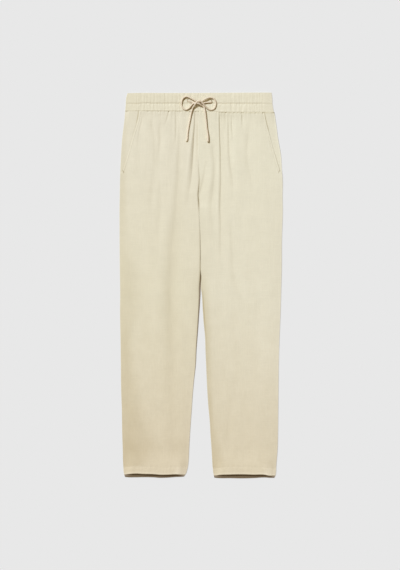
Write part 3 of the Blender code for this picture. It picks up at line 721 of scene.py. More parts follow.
def weave_group():
    tree, given, out = new_group(
        "linen weave",
        "ShaderNodeTree",
        {"Cut": ("Vector", None), "Threads per metre": ("Float", THREADS), "Slubs": ("Float", 1.0)},
        {"Height": "Float", "Tone": "Float"},
    )
    cut = given["Cut"]
    threads = add(tree, "VectorMath", {0: cut, "Scale": given["Threads per metre"]}, operation="SCALE")
    wobble = add(tree, "TexNoise", {"Vector": cut, "Scale": 220.0, "Detail": 1.0}, "Color")
    shifted = add(tree, "VectorMath", {0: wobble, 1: (0.9, 0.9, 0.0), 2: threads}, operation="MULTIPLY_ADD")
    axes = add(tree, "SeparateXYZ", {0: shifted}).node.outputs
    u, v = (maths(tree, "COSINE", maths(tree, "MULTIPLY", axes[axis], math.pi)) for axis in "XY")
    over = maths(tree, "MULTIPLY_ADD", maths(tree, "MULTIPLY", u, v), 0.5, 0.5)
    warp = maths(tree, "MULTIPLY", maths(tree, "MULTIPLY", u, u), over)
    weft = maths(tree, "MULTIPLY", maths(tree, "MULTIPLY", v, v), maths(tree, "SUBTRACT", 1.0, over))
    weave = maths(tree, "ADD", warp, weft)

    def slub(scale, seed):
        stretched = add(tree, "Mapping", {"Vector": cut, "Location": (seed, seed * 0.7, 0), "Scale": scale})
        streak = add(tree, "TexNoise", {"Vector": stretched, "Scale": 1.0, "Detail": 2.0, "Roughness": 0.55})
        return add(tree, "MapRange", {"Value": streak, "From Min": 0.5, "From Max": 0.8})

    slubs = maths(tree, "ADD", slub((26, 900, 1), 3.1), slub((900, 18, 1), 8.3))
    slubs = maths(tree, "MULTIPLY", slubs, given["Slubs"])
    height = maths(tree, "MULTIPLY_ADD", slubs, 1.4, maths(tree, "MULTIPLY", weave, 0.8))
    tree.links.new(height, out["Height"])
    cloudy = add(tree, "TexNoise", {"Vector": cut, "Scale": 30.0, "Detail": 3.0, "Roughness": 0.6})
    tone = maths(tree, "MULTIPLY_ADD", cloudy, 0.6, maths(tree, "MULTIPLY", weave, 0.25))
    tree.links.new(maths(tree, "MULTIPLY_ADD", slubs, -0.5, tone), out["Tone"])
    return tree


WEAVE = weave_group()


# %% Linen material
CUT_LENGTH = 1.033  # metres of cloth from the waistband's top to the hem


def linen(name, waist, knee, hem):
    """Linen whose tone runs from the waist's colour through the knee's to the hem's."""
    made, tree, shader = new_finish(
        name, Roughness=0.85, Specular_IOR_Level=0.25, Sheen_Weight=0.08, Sheen_Roughness=0.5
    )
    cut = add(tree, "UVMap", uv_map="cut")
    woven = {"Cut": cut, "Threads per metre": THREADS, "Slubs": 1.0}
    weave = add(tree, "Group", woven, node_tree=WEAVE).node.outputs
    y = add(tree, "SeparateXYZ", {0: cut}, "Y")
    down = add(tree, "MapRange", {"Value": y, "From Min": -CUT_LENGTH, "From Max": 0.0})
    colour = ramp(tree, down, (0.0, hem), (0.48, knee), (0.85, waist))
    levels = {"Value": weave["Tone"], "From Min": 0.15, "From Max": 0.65, "To Min": 1.03, "To Max": 0.95}
    tinted = add(tree, "VectorMath", {0: colour, "Scale": add(tree, "MapRange", levels)}, operation="SCALE")
    # The tone attribute holds painted light and shade and a mottle. A darker place is also a warmer one, so
    # blue falls the most.
    tone = add(tree, "Attribute", output="Fac", attribute_name="tone")
    shares = {0: tone, 1: (0.85, 1.0, 1.35), 2: (1.0, 1.0, 1.0)}
    toned = add(tree, "VectorMath", shares, operation="MULTIPLY_ADD")
    tree.links.new(add(tree, "VectorMath", {0: tinted, 1: toned}, operation="MULTIPLY"), shader["Base Color"])
    bump = add(tree, "Bump", {"Height": weave["Height"], "Distance": 0.00018, "Strength": 0.55})
    tree.links.new(bump, shader["Normal"])
    return made


# Painted light: each leg's linen is lightest at the waist end, where the light comes from, and darker towards
# the hem. The left leg's copy is a little lighter at the knee than the right's.
LINEN = {
    -1: linen("right_leg_linen", paint(229, 222, 200), paint(226, 218, 192), paint(218, 204, 176)),
    1: linen("left_leg_linen", paint(230, 224, 201), paint(228, 221, 198), paint(218, 205, 177)),
}
BAND_LINEN = linen("band_linen", *[paint(230, 223, 199)] * 3)
# Far darker than the cloth's own colour: painted shade for the inside, which shows only in shadow, in the
# open hems and between the legs.
SHADED_INSIDE_LINEN = linen("inside_linen_shaded", paint(150, 135, 116), paint(150, 135, 116), paint(140, 124, 104))

# %% [markdown]
# ## Front legs
# The grid is closest in the pleats, so that a pressed one keeps its edge. Its
# outer edge follows the pocket mouth first and the side seam further down, and the
# mouth and the hem are thicker because the cloth is turned in there.

# %% Front legs
FRONT_COLUMNS = 146
FRONT_LENGTH, BACK_LENGTH = 974.0, 983.4  # from the waistband's seam to the hem
SEAM_DOWN = 48.6  # how far down the waistband's seam is on the whole
FRONT_TURN, BACK_TURN = 0.7, 0.6  # what a hem's turned cloth adds to the wall


def leg_grid(side, levels, columns, outer, back=False):
    """Rows from the waistband's seam to the hem that keep to both edges of the leg."""
    grid = []
    for level in levels:
        x = columns(side, SEAM_DOWN + level)
        for _ in range(2):
            seam, hem = read(BAND_SEAM, x), read(HEMS, x, 2 if back else 1)
            down = seam + (hem - seam) * level / levels[-1]
            share = (x - x[0]) / (x[-1] - x[0])
            start, end = inner_x(side, down, back), outer(side, down)
            x = start + share * (end - start)
        grid.append((x, down))
    return np.array(grid).transpose(1, 0, 2)


def front_columns(side, down):
    """Places across one row, closest at the edges and in the pleats."""
    fine = np.linspace(inner_x(side, down), mouth_x(side, down), 1500)
    from_edge = np.minimum(np.abs(fine - fine[0]), np.abs(fine - fine[-1]))
    density = 1 + 5 * np.exp(-from_edge / 1.6)
    for _, rows in PLEATS[side].values():
        if rows[0, 0] - 30 < down < rows[-1, 0] + 30:
            wall, depth = np.maximum(read(rows, down, 3), 1.0), np.maximum(read(rows, down, 2), 0.2)
            density += 2.4 * depth / wall * bell(fine, read(rows, down) - 0.5 * wall, 1.4 * wall + 1)
    counted = np.concatenate([[0], np.cumsum((density[1:] + density[:-1]) / 2)])
    return np.interp(np.linspace(0, 1, FRONT_COLUMNS), counted / counted[-1], fine)


def front_leg(side):
    upper, shin = np.arange(-1.0, 260, 2.3), np.arange(260, 935, 5.0)
    hem = [*np.arange(935, 972.5, 2.2), 972.6, 973.4, FRONT_LENGTH]
    levels = np.concatenate([upper, shin, hem])
    x, down = grid = leg_grid(side, levels, front_columns, mouth_x)
    at = inset(side, x, down)
    in_pocket = (down < POCKET_END + 4) * 1.0
    wall = CLOTH + FRONT_TURN * ease((HEM_TURN + 1 - at.hem) / 2.5)
    wall += (MOUTH_WALL - CLOTH) * in_pocket * ease((8 - at.mouth) / 3)
    height = front_height(side, x, down) - 0.7 * (1 - ease(at.hem / 1.6))
    height -= in_pocket * (0.35 * (1 - ease(at.mouth / 5)) if side < 0 else 0.45 * (1 - ease(at.mouth / 1.5)))
    finishes, name = [LINEN[side], SHADED_INSIDE_LINEN], f"front_{SIDE_WORDS[side]}_cloth"
    return shell(name, grid, height, wall, finishes, front_tone(side, x, down), lower=1)


front_right, front_left = front_leg(-1), front_leg(1)

# %% [markdown]
# ## Pocket facings
# In each slanted mouth shows the facing, a hip piece cut on with the pocket. It is
# sewn into the waistband and the side seam, and runs on under the front.

# %% Pocket facings
MOUTH_LIMIT = 213.5  # the facing's inner edge follows the mouth as far out as this
UNDER_FRONT = 16  # how far it runs on under the front


def pocket_facing(side):
    grid = []
    for level in np.linspace(-1.0, 176, 80):
        nominal = SEAM_DOWN + level
        mouth = np.minimum(read(POCKET_MOUTH, nominal, COLUMN[side]), MOUTH_LIMIT)
        x = spread(side * (mouth - UNDER_FRONT), side_x(side, nominal), 26)
        grid.append((x, read(BAND_SEAM, x) + level))
    x, down = grid = np.array(grid).transpose(1, 0, 2)
    at = inset(side, x, down)
    height = facing_height(side, x, down) - (0.35 * fade(at.band, 1.6) + 0.3 * gathered(x, down))
    # Painted shade along the right facing's side edge; the left one is a little darker overall, with painted
    # light and a painted highlight along its side edge.
    if side < 0:
        tone = -shaded(OUTER_SHADE, at.side, down)
    else:
        tone = lit_edge(at.side, down) + 0.12 * bell(at.side, 0, 2) - 0.02
    name = f"pocket_facing_{SIDE_WORDS[side]}_cloth"
    return shell(name, grid, height, CLOTH, [LINEN[side]], tone + seam_shadow(side, x, down))


facing_right, facing_left = pocket_facing(-1), pocket_facing(1)

# %% [markdown]
# ## Back legs
# The back lies pressed against the table. Its inside shows only as a narrow band
# in the open hems. Its outside, underneath, has the same gathers at the waist, but
# pressed almost flat: each lifts the cloth off the table by less than a millimetre.

# %% Back legs
BACK_PLEATS = (
    (1.5, numbers("48 40 0.7 3 5 | 120 42 0.6 4 7 | 260 48 0.3 6 9 | 330 50 0 6 9")),
    (1.5, numbers("48 92 0.8 3 5 | 150 97 0.6 5 8 | 300 106 0.3 7 10 | 420 110 0 7 10")),
    (1.5, numbers("48 146 0.6 3 5 | 120 150 0.5 4 7 | 210 156 0 6 9")),
    (1.9, numbers("330 70 0 8 12 | 480 84 0.6 9 14 | 640 92 0.5 9 14 | 820 96 0 9 14")),
)


def pressed_gathers(side, x, down):
    return 0.35 * gathered(-x, down) + pleated(BACK_PLEATS, x, down, lip=0, mirror=side)


def back_height(side, x, down):
    """Top of a back panel over the table."""
    at = inset(side, x, down, back=True)
    opened = ease((down - 268) / 40)
    lifted = 0.1 * fade(at.side, 5) + 0.1 * opened * fade(at.inner, 5)
    lifted += pressed_gathers(side, x, down) * ease(at.side / 8)
    lifted += 0.3 * (1 - opened) * bell(at.inner, 0, 1.5)
    lifted += 0.12 * (1 + unevenness(x / 16, down / 30, 14))
    return 0.18 + CLOTH + np.minimum(lifted * ease(0.2 + at.side / 6), 0.85)


def underside_tone(side, x, down):
    """The back's outside: painted shade in its gathers and seams, and a faint mottle."""
    at = inset(side, x, down, back=True)
    tone = -0.09 * pressed_gathers(side, x, down) - 0.04 * fade(at.side, 20)
    tone -= 0.16 * bell(at.band, 0.3, 1.5) + 0.12 * bell(at.inner, 0, 1.4)
    tone -= 0.06 * bell(at.hem, HEM_TURN, 1.4)
    return tone + 0.02 * unevenness(x / 13, down / 19, 36) + 0.02 * unevenness(x / 31, down / 47, 37)


def back_columns(side, down):
    return spread(inner_x(side, down, back=True), side_x(side, down), 62)


def back_leg(side):
    upper, lower = np.arange(-1.0, 130, 3.2), np.arange(130, 960, 8.0)
    hem = [*np.arange(960, 983, 2.2), 982.6, BACK_LENGTH]
    levels = np.concatenate([upper, lower, hem])
    x, down = grid = leg_grid(side, levels, back_columns, side_x, back=True)
    thicker = BACK_TURN * ease((HEM_TURN + 1 - inset(side, x, down, back=True).hem) / 2.5)
    past_front = down - read(HEMS, x)
    # Painted light and shade on the inside where it shows: lighter just past the front's hem, a painted
    # shadow further on, and painted shade where it shows in the gap between the legs.
    tone = 0.6 * bell(past_front, 0.5, 1.8) - 0.36 * ease((past_front - 1.5) / 3)
    tone -= 0.5 * bell(down, 496, 20) + 0.12 * bell(down, 575, 24)
    height, below = back_height(side, x, down) + thicker, underside_tone(side, x, down)
    finishes, name = [LINEN[side], SHADED_INSIDE_LINEN], f"back_{SIDE_WORDS[side]}_cloth"
    return shell(name, grid, height, CLOTH + thicker, finishes, tone, below, upper=1)


back_right, back_left = back_leg(-1), back_leg(1)

# %% [markdown]
# ## Waistband
# The waistband is a casing folded over a wide elastic, with one row of stitches
# along its middle that makes two channels. The elastic wrinkles it finely: each
# wrinkle runs from the top edge to the seam, and is pinched at the stitches.

# %% Waistband height
BAND_DEPTH = 48.8
BAND_BASE = 5.7
BAND_EDGE = 1.85  # height of the band where its front meets its back
STITCHED = 0.55  # where the row of stitches runs, as a share of the band's depth
WRINKLES, WRINKLES_FROM = 68, -208  # their number, and the x before the first
# share of the band's depth, swell of the casing, share of the wrinkles' depth
BAND_PROFILE = numbers("""
    0 -0.5 0.5 | 0.012 -0.05 0.6 | 0.05 0.2 0.8 | 0.25 0.3 1 | 0.42 0.2 0.9 | 0.5 0 0.8 |
    0.535 -0.6 0.7 | 0.56 -0.75 0.7 | 0.59 -0.35 0.9 | 0.65 -0.05 1 | 0.78 0.25 1 | 0.9 0.5 0.9 |
    0.965 0.65 0.7 | 0.987 0.4 0.6 | 1 -0.3 0.5
""")
BUTTONHOLES = ((-35.2, 19.4), (28.6, 21.8))  # x, down
wrinkle_rng = np.random.default_rng(5)
wrinkle_x = np.cumsum(wrinkle_rng.uniform(3.2, 9.0, WRINKLES)) + WRINKLES_FROM
wrinkle_depth = wrinkle_rng.uniform(0.15, 1.0, WRINKLES) ** 1.5


def wrinkles(x, down):
    """How far the elastic's wrinkles lower the casing."""
    total = np.zeros(np.broadcast(x, down).shape)
    for at, depth in zip(wrinkle_x, wrinkle_depth):
        sway = 1.2 * unevenness(np.full_like(down, at / 9), down / 22, 21)
        strength = 0.75 + 0.5 * unevenness(np.full_like(down, at / 5), down / 16, 22)
        total += depth * strength * bell(x, at + sway, 1.2 + 1.2 * depth)
    return total


def band_share(x, down):
    """0 at the band's top edge, 1 at its seam."""
    top = read(BAND_TOP, x)
    return np.clip((down - top) / (read(BAND_SEAM, x) - top), 0, 1)


def row_share(x):
    """Where the row of stitches runs: it wanders a little."""
    x = np.asarray(x, float)
    wander = 0.018 * unevenness(x / 27, x * 0, 25) + 0.012 * unevenness(x / 8, x * 0, 26)
    return STITCHED + 0.024 * ease(-x / 50) + wander


def band_height(x, down):
    """Top of the waistband's front over the table."""
    share = band_share(x, down)
    share = share - (row_share(x) - STITCHED) * 4 * share * (1 - share)
    height = BAND_BASE + read(BAND_PROFILE, share) - 0.7 * read(BAND_PROFILE, share, 2) * wrinkles(x, down)
    height += 0.4 * (0.1 + unevenness(x / 11, down * 0, 27)) * bell(share, STITCHED, 0.03)
    ticks = bell(share, STITCHED + 0.07, 0.06) + 0.8 * bell(share, 1, 0.1)
    height += 0.5 * unevenness(x / 3.0, down / 20, 23) * ticks
    height += 0.09 * unevenness(x / 7, down / 9, 24)
    roll = np.minimum(rise(x - side_x(-1, down), 0.2), rise(side_x(1, down) - x, 0.05))
    height = BAND_EDGE + (height - BAND_EDGE) * roll
    for hole_x, hole_down in BUTTONHOLES:
        height -= 2.0 * np.exp(-(((x - hole_x) / 1.3) ** 4)) * np.exp(-(((down - hole_down) / 3.2) ** 4))
    return height


def band_tone(x, down):
    """How much lighter than its finish the waistband's front is at each place: painted light and shade, and a
    faint mottle.
    """
    share = band_share(x, down)
    from_left, from_right = x - side_x(-1, down), side_x(1, down) - x
    # The lower channel is a little darker; painted shade lies in the wrinkles, along the row of stitches and
    # at the seam.
    tone = 0.01 - 0.012 * ease((share - 0.6) / 0.2) - 0.02 * wrinkles(x, down)
    row = 0.045 + 0.05 * unevenness(x / 5, down * 0, 28) + 0.07 * unevenness(x / 23, down * 0, 29)
    tone -= np.maximum(row, 0) * bell(share, row_share(x) + 0.015, 0.03)
    seam = 0.08 + 0.03 * ease((x - 20) / 60) + 0.04 * unevenness(x / 8, down * 0, 34)
    tone -= seam * bell(share, 1, 0.022)
    # A little darker towards the right; painted shade at the right end and the top edge, painted light at the
    # left end.
    tone -= (0.018 + 0.014 * (1 - ease((share - 0.5) / 0.1))) * ease(0.55 - x / 180)
    tone -= 0.05 * np.exp(-from_left / SLOPE) + 0.05 * (1 - ease(from_left / 7))
    tone -= 0.10 * bell(share, 0, 0.03)
    tone += 0.03 * np.exp(-from_right / SLOPE) + 0.06 * np.exp(-from_right / 2.5)
    return tone + 0.02 * unevenness(x / 10, down / 14, 33)


def cloth_top(x, down):
    """Top of whatever lies uppermost here."""
    x, down = np.asarray(x, float), np.asarray(down, float)
    on_leg = np.where(x < read(MIDDLE, down), front_height(-1, x, down), front_height(1, x, down))
    return np.where(down < read(BAND_SEAM, x), band_height(x, down), on_leg)


# %% Waistband
def band_grid(shares, columns):
    """Rows that run along the band, and how far each point is from its ends."""
    grid = []
    for share in shares:
        x = spread(side_x(-1, share * BAND_DEPTH), side_x(1, share * BAND_DEPTH), columns)
        top = read(BAND_TOP, x)
        grid.append((x, top + share * (read(BAND_SEAM, x) - top)))
    x, down = grid = np.array(grid).transpose(1, 0, 2)
    return grid, np.minimum(x - side_x(-1, down), side_x(1, down) - x)


def waistband_front():
    shares = np.concatenate([[0, 0.006, 0.012, 0.02, 0.035], np.linspace(0.06, 0.965, 42), [0.98, 0.99, 1.0]])
    grid, from_end = band_grid(shares, 330)
    wall = 0.75 + 0.9 * ease(from_end / 14)
    return shell("waistband_front_cloth", grid, band_height(*grid), wall, [BAND_LINEN], band_tone(*grid))


def waistband_back():
    shares = np.concatenate([[0, 0.01, 0.03], np.linspace(0.06, 0.96, 22), [0.98, 1.0]])
    grid, from_end = band_grid(shares, 200)
    x, down = grid
    share, wrinkled = band_share(x, down), wrinkles(-x, down)
    lifted = (0.5 * wrinkled + 0.5 * bell(share, STITCHED, 0.02)) * ease(from_end / 8)
    lifted += 0.8 * bell(share, 1, 0.03) * ease(from_end / 6) + 0.5 * bell(share, 0, 0.03)
    wall = 0.75 + 0.6 * ease(from_end / 12)
    # Painted shade in the wrinkles, along the row of stitches and at the seam, and a faint mottle.
    tone = -0.05 * wrinkled - 0.10 * bell(share, STITCHED, 0.025) - 0.14 * bell(share, 1, 0.03)
    tone += 0.02 * unevenness(x / 10, down / 14, 38)
    height = 0.25 + wall + np.minimum(lifted, 1.1)
    return shell("waistband_back_cloth", grid, height, wall, [BAND_LINEN], tone)


band_front, band_back = waistband_front(), waistband_back()

# %% [markdown]
# ## Stitches
# A machine stitch shows as a short plump thread that sinks at both ends. One
# Geometry Nodes tree lays any row: it walks along a line at the stitch's pitch,
# puts a small bead of thread at each step and turns it along the row, or across it
# for the dense satin stitches of a buttonhole or bar tack.


# %% Stitch tree
def stitch_tree():
    sizes = {"Pitch": 0.003, "Stitch length": 0.0024, "Thread": 0.0005, "Turn": 0.0}
    inputs = {"Line": ("Geometry", None), **{label: ("Float", value) for label, value in sizes.items()}}
    inputs |= {"Seed": ("Int", 1), "Thread finish": ("Material", None)}
    tree, given, out = new_group("row of stitches", "GeometryNodeTree", inputs, {"Stitches": "Geometry"})
    line = add(tree, "MeshToCurve", {"Mesh": given["Line"]})
    steps = add(tree, "ResampleCurve", {"Curve": line, "Length": given["Pitch"]}, mode="LENGTH")
    bead = add(tree, "MeshUVSphere", {"Segments": 6, "Rings": 4, "Radius": 0.5})
    along = add(tree, "InputTangent")
    limits = {"Min": -0.05, "Max": 0.05, "Seed": given["Seed"]}
    draws = add(tree, "FunctionNodeRandomValue", limits, data_type="FLOAT").node.outputs
    wander = next(socket for socket in draws if socket.enabled)
    turn = add(tree, "ShaderNodeMath", {0: given["Turn"], 1: wander}, operation="ADD")
    facing = add(tree, "ShaderNodeVectorRotate", {"Vector": along, "Angle": turn}, rotation_type="Z_AXIS")
    lay = add(tree, "FunctionNodeAlignRotationToVector", {"Vector": facing}, axis="X")
    size = {"X": given["Stitch length"], "Y": given["Thread"], "Z": given["Thread"]}
    size = add(tree, "ShaderNodeCombineXYZ", size)
    laid = add(tree, "InstanceOnPoints", {"Points": steps, "Instance": bead, "Rotation": lay, "Scale": size})
    smooth = add(tree, "SetShadeSmooth", {"Geometry": add(tree, "RealizeInstances", {"Geometry": laid})})
    finished = add(tree, "SetMaterial", {"Geometry": smooth, "Material": given["Thread finish"]})
    tree.links.new(finished, out[0])
    return tree


def thread_finish():
    made, tree, shader = new_finish("sewing_thread", Roughness=0.6)
    where = add(tree, "TexCoord", output="Object")
    noise = add(tree, "TexNoise", {"Vector": where, "Scale": 900.0, "Detail": 1.0})
    colour = ramp(tree, noise, (0.0, paint(196, 184, 156)), (1.0, paint(222, 213, 188)))
    tree.links.new(colour, shader["Base Color"])
    return made


STITCHES, THREAD = stitch_tree(), thread_finish()
# pitch, length and thickness of each kind of stitch
HEM_STITCH, BACK_HEM_STITCH, POCKET_STITCH = (3.1, 2.5, 0.5), (3.1, 2.5, 0.38), (3.0, 2.4, 0.5)
BAND_STITCH, BACK_BAND_STITCH = (3.0, 2.5, 0.5), (3.0, 2.5, 0.38)
TACK_STITCH, BUTTONHOLE_STITCH = (0.5, 2.4, 0.4), (0.55, 1.3, 0.4)
ACROSS = math.pi / 2  # satin stitches lie across their row


def stitch_rows(name, lines, size, seed, turn=0.0):
    """Rows of stitches as one plain mesh; lines are lists of points in metres."""
    points, edges = [], []
    for line in lines:
        edges += [(len(points) + i, len(points) + i + 1) for i in range(len(line) - 1)]
        points += [tuple(p) for p in line]
    data = bpy.data.meshes.new(name + "_line")
    data.from_pydata(points, edges, [])
    row = place(name + "_line", data)
    modifier = row.modifiers.new("stitches", "NODES")
    modifier.node_group = STITCHES
    wanted = {label: value * MM for label, value in zip(("Pitch", "Stitch length", "Thread"), size)}
    wanted |= {"Turn": turn, "Seed": seed, "Thread finish": THREAD}
    for socket in STITCHES.interface.items_tree:
        if socket.in_out == "INPUT" and socket.name in wanted:
            modifier[socket.identifier] = wanted[socket.name]
    seen = bpy.context.evaluated_depsgraph_get()
    mesh = bpy.data.meshes.new_from_object(row.evaluated_get(seen))
    row.modifiers.remove(modifier)
    bpy.data.objects.remove(row)
    mesh.name = name
    if not mesh.materials:
        mesh.materials.append(THREAD)
    print(f"{name}: {len(mesh.polygons)} faces")
    return place(name, mesh)


# %% Rows on the legs
UNDERSIDE = 0.2  # height over the table of the thread on the garment's back


def turn_line(side, column):
    """x and down of the stitches along a hem's turn, column 1 for the front's hem."""
    x = np.linspace(inner_x(side, 1000) + side * 1.5, side_x(side, 1000) - side * 1.5, 160)
    return x, read(HEMS, x, column) - HEM_TURN


def hem_line(side):
    x, down = turn_line(side, 1)
    return to_world(x, down, front_height(side, x, down) + 0.1)


def back_hem_line(side):
    """On the back's outside, which lies on the table."""
    return to_world(*turn_line(side, 2), UNDERSIDE)


def mouth_line(side):
    down = np.linspace(52, POCKET_END - 1, 120)
    x = mouth_x(side, down) - side * 5.5
    return to_world(x, down, front_height(side, x, down) + 0.12)


def bar_tack(side):
    down = np.linspace(POCKET_END - 5, POCKET_END + 3, 24)
    x = mouth_x(side, np.full_like(down, POCKET_END - 4)) - side * np.linspace(1.0, 4.5, 24)
    return to_world(x, down, front_height(side, x, down) + 0.1)


def on_both(name, line, size, seed):
    """The same row of stitches on the right leg and on the left one."""
    sides = SIDE_WORDS.items()
    return [stitch_rows(f"{name}_{word}", [line(side)], size, seed + side) for side, word in sides]


back_stitches = on_both("back_hem_stitches", back_hem_line, BACK_HEM_STITCH, 14)
hem_stitches = on_both("hem_stitches", hem_line, HEM_STITCH, 2)
mouth_stitches = on_both("pocket_stitches", mouth_line, POCKET_STITCH, 5)
tacks = stitch_rows("bar_tacks", [bar_tack(-1), bar_tack(1)], TACK_STITCH, 8, ACROSS)

# %% Rows on the waistband
ROW_START, ROW_END = -199, 188  # x
row_x = np.linspace(ROW_START, ROW_END, 300)
row = row_share(row_x)
row_down = read(BAND_TOP, row_x) * (1 - row) + read(BAND_SEAM, row_x) * row
front_row = to_world(row_x, row_down, cloth_top(row_x, row_down) + 0.12)
band_stitches = stitch_rows("waistband_stitches", [front_row], BAND_STITCH, 11)
back_row = to_world(row_x, row_down, UNDERSIDE)
back_band_stitches = stitch_rows("waistband_back_stitches", [back_row], BACK_BAND_STITCH, 13)


def buttonhole_ring(hole_x, hole_down):
    angle = np.linspace(0, 2 * np.pi, 80)
    x, down = hole_x + 2.0 * np.cos(angle), hole_down + 4.4 * np.sin(angle)
    return to_world(x, down, band_height(x, down) + 0.2)


rings = [buttonhole_ring(*hole) for hole in BUTTONHOLES]
buttonhole_stitches = stitch_rows("buttonhole_stitches", rings, BUTTONHOLE_STITCH, 12, ACROSS)

# %% [markdown]
# ## Drawstring
# The drawstring is one limp cotton cord, braided, about 4 mm thick. It comes out of
# the two buttonholes and is tied in a bow. Followed from the right buttonhole, it
# crosses the middle, makes the left loop, arches over the knot and becomes the
# right free end. The other half does the same the other way round, underneath.

# %% Drawstring routes
CORD_D = 3.9  # the cord's thickness
FLARE, ROUNDING = 0.013, 0.0016  # metres from a cut end that it flares, and is rounded
# x, down, height of the cord's middle over the cloth, how dark the painted shadow on the cloth beside it is
RIGHT_HALF = numbers("""
    -35.4 19.8 -1.6 0.9 | -33.4 21 -0.5 0.5 | -29.8 22.4 0 0.5 | -24 24.6 0.4 0.7 | -16.9 25.8 1.3 1 |
    -10 25.8 2.4 1 | -3 24.4 3.4 1 | 4 21 4.8 1.2 | 9.8 17.2 5 1.2 | 15.6 14.2 4.8 1.4 |
    20.4 12.4 4.4 1.5 | 25.2 12 3.7 1.4 | 32.6 14 2.6 0.9 | 37.9 20 1.7 0.5 | 39.6 26.8 1.5 0.6 |
    38.6 34.6 1.6 0.8 | 34.9 41.4 1.4 0.6 | 27 44.7 1.4 0.5 | 18.8 42.2 2.6 0.6 | 12.4 36.8 5.6 0.8 |
    7.2 31.4 8.2 1 | 2.6 25.4 9.8 1.2 | -5.4 21.2 10.2 1 | -12.2 25.8 8.8 2 | -17 32.2 6 2.2 |
    -21.7 38.6 3.6 1.7 | -25.2 48.6 2.4 1.2 | -27.8 60.4 1.9 1 | -29.8 70.9 1.7 0.8 |
    -31.9 81.3 1.5 0.5 | -33.6 91 1.4 0.35 | -34.8 99 1.4 0.3 | -35.9 107 1.4 0.3 | -36.4 115 1.4 0.3 |
    -36.9 121.6 1.4 0.5 | -37.8 126 1.5 0.9 | -39.4 128.6 1.5 1
""")
LEFT_HALF = numbers("""
    28.8 23.6 -1 0.9 | 26.4 24 0.8 1.1 | 23 24.4 1.4 1.2 | 18.6 24.7 1.6 1.4 | 10.7 25.8 2 1.4 |
    4 28 2.5 1 | -3 28.6 2.6 1.2 | -10 24.4 3.6 1.2 | -16.9 19.6 4.6 1.2 | -25 15.2 4.6 1.5 |
    -32.2 11.4 4.2 1.6 | -39.5 9.4 3.8 1.6 | -46.2 12 3.2 1.3 | -50.6 18 2.3 0.9 | -52.2 25.5 1.6 0.5 |
    -52.6 32.8 1.3 0.3 | -50 39 1.2 0.4 | -45.1 43.1 1.3 0.6 | -38.9 43.7 1.5 0.9 | -32.6 40.4 2.3 1.2 |
    -27.2 34.4 3.4 1.4 | -21.7 28.7 4.4 1.6 | -16 27.6 5.4 2 | -10.8 27.8 8 2 | -5.8 28.8 9 1.8 |
    -2.4 31.2 7.6 1.6 | 1 33.2 4.2 1 | 5 34.8 2.6 0.5 | 8.2 38.2 2.4 0.5 | 9.5 43 2.4 1 |
    10.4 48.6 3 1 | 12 58.8 2.9 1 | 13.3 70.9 2.8 1 | 14.3 81.3 2.8 1 | 15.1 90.8 2.8 1 |
    16.2 98.8 2.8 1 | 17.5 106.8 3 1.1 | 18.3 114.9 3.6 1.3 | 18.6 123 3.6 1.3 | 18.6 130.8 3 1.3
""")


def walked(points):
    """How far along a line each of its points is."""
    return np.concatenate([[0], np.cumsum(np.linalg.norm(np.diff(points, axis=0), axis=1))])


def cord_line(route, step=0.8):
    """Even points in metres along a smooth curve, its length, and the painted shadow's strength beside it."""
    near = ((0, 0), (1.8, 0), (-1.8, 0), (0, 1.8), (0, -1.8))
    ground = np.array([max(cloth_top(x + dx, down + dy) for dx, dy in near) for x, down in route[:, :2]])
    ground[:2] = ground[2]
    points = to_world(route[:, 0], route[:, 1], ground + route[:, 2])
    along = walked(points)
    fine = np.linspace(0, along[-1], 2000)
    smooth = np.stack([read(np.column_stack([along, points[:, k]]), fine) for k in range(3)], axis=1)
    far = walked(smooth)
    even = np.linspace(0, far[-1], int(far[-1] / (step * MM)) + 1)
    dark = np.interp(even / far[-1], along / along[-1], route[:, 3])
    return np.stack([np.interp(even, far, smooth[:, k]) for k in range(3)], axis=1), far[-1], dark


# %% Drawstring cord
def cord_finish():
    made, tree, shader = new_finish("cotton_cord", Roughness=0.75, Specular_IOR_Level=0.3)
    axes = add(tree, "SeparateXYZ", {0: add(tree, "UVMap", uv_map="around")}).node.outputs
    turns = maths(tree, "MULTIPLY", axes["X"], 6 * math.pi)
    on = maths(tree, "MULTIPLY", axes["Y"], 1700.0)
    crossing = [maths(tree, "SINE", maths(tree, way, turns, on)) for way in ("ADD", "SUBTRACT")]
    plait = maths(tree, "MINIMUM", *[maths(tree, "ABSOLUTE", strand) for strand in crossing])
    # The plait's grooves are darker: painted shade.
    colour = ramp(tree, plait, (0.0, paint(200, 182, 152)), (0.35, paint(242, 227, 205)))
    tree.links.new(colour, shader["Base Color"])
    bump = add(tree, "Bump", {"Height": plait, "Distance": 0.0004, "Strength": 0.8})
    tree.links.new(bump, shader["Normal"])
    return made


CORD_FINISH = cord_finish()


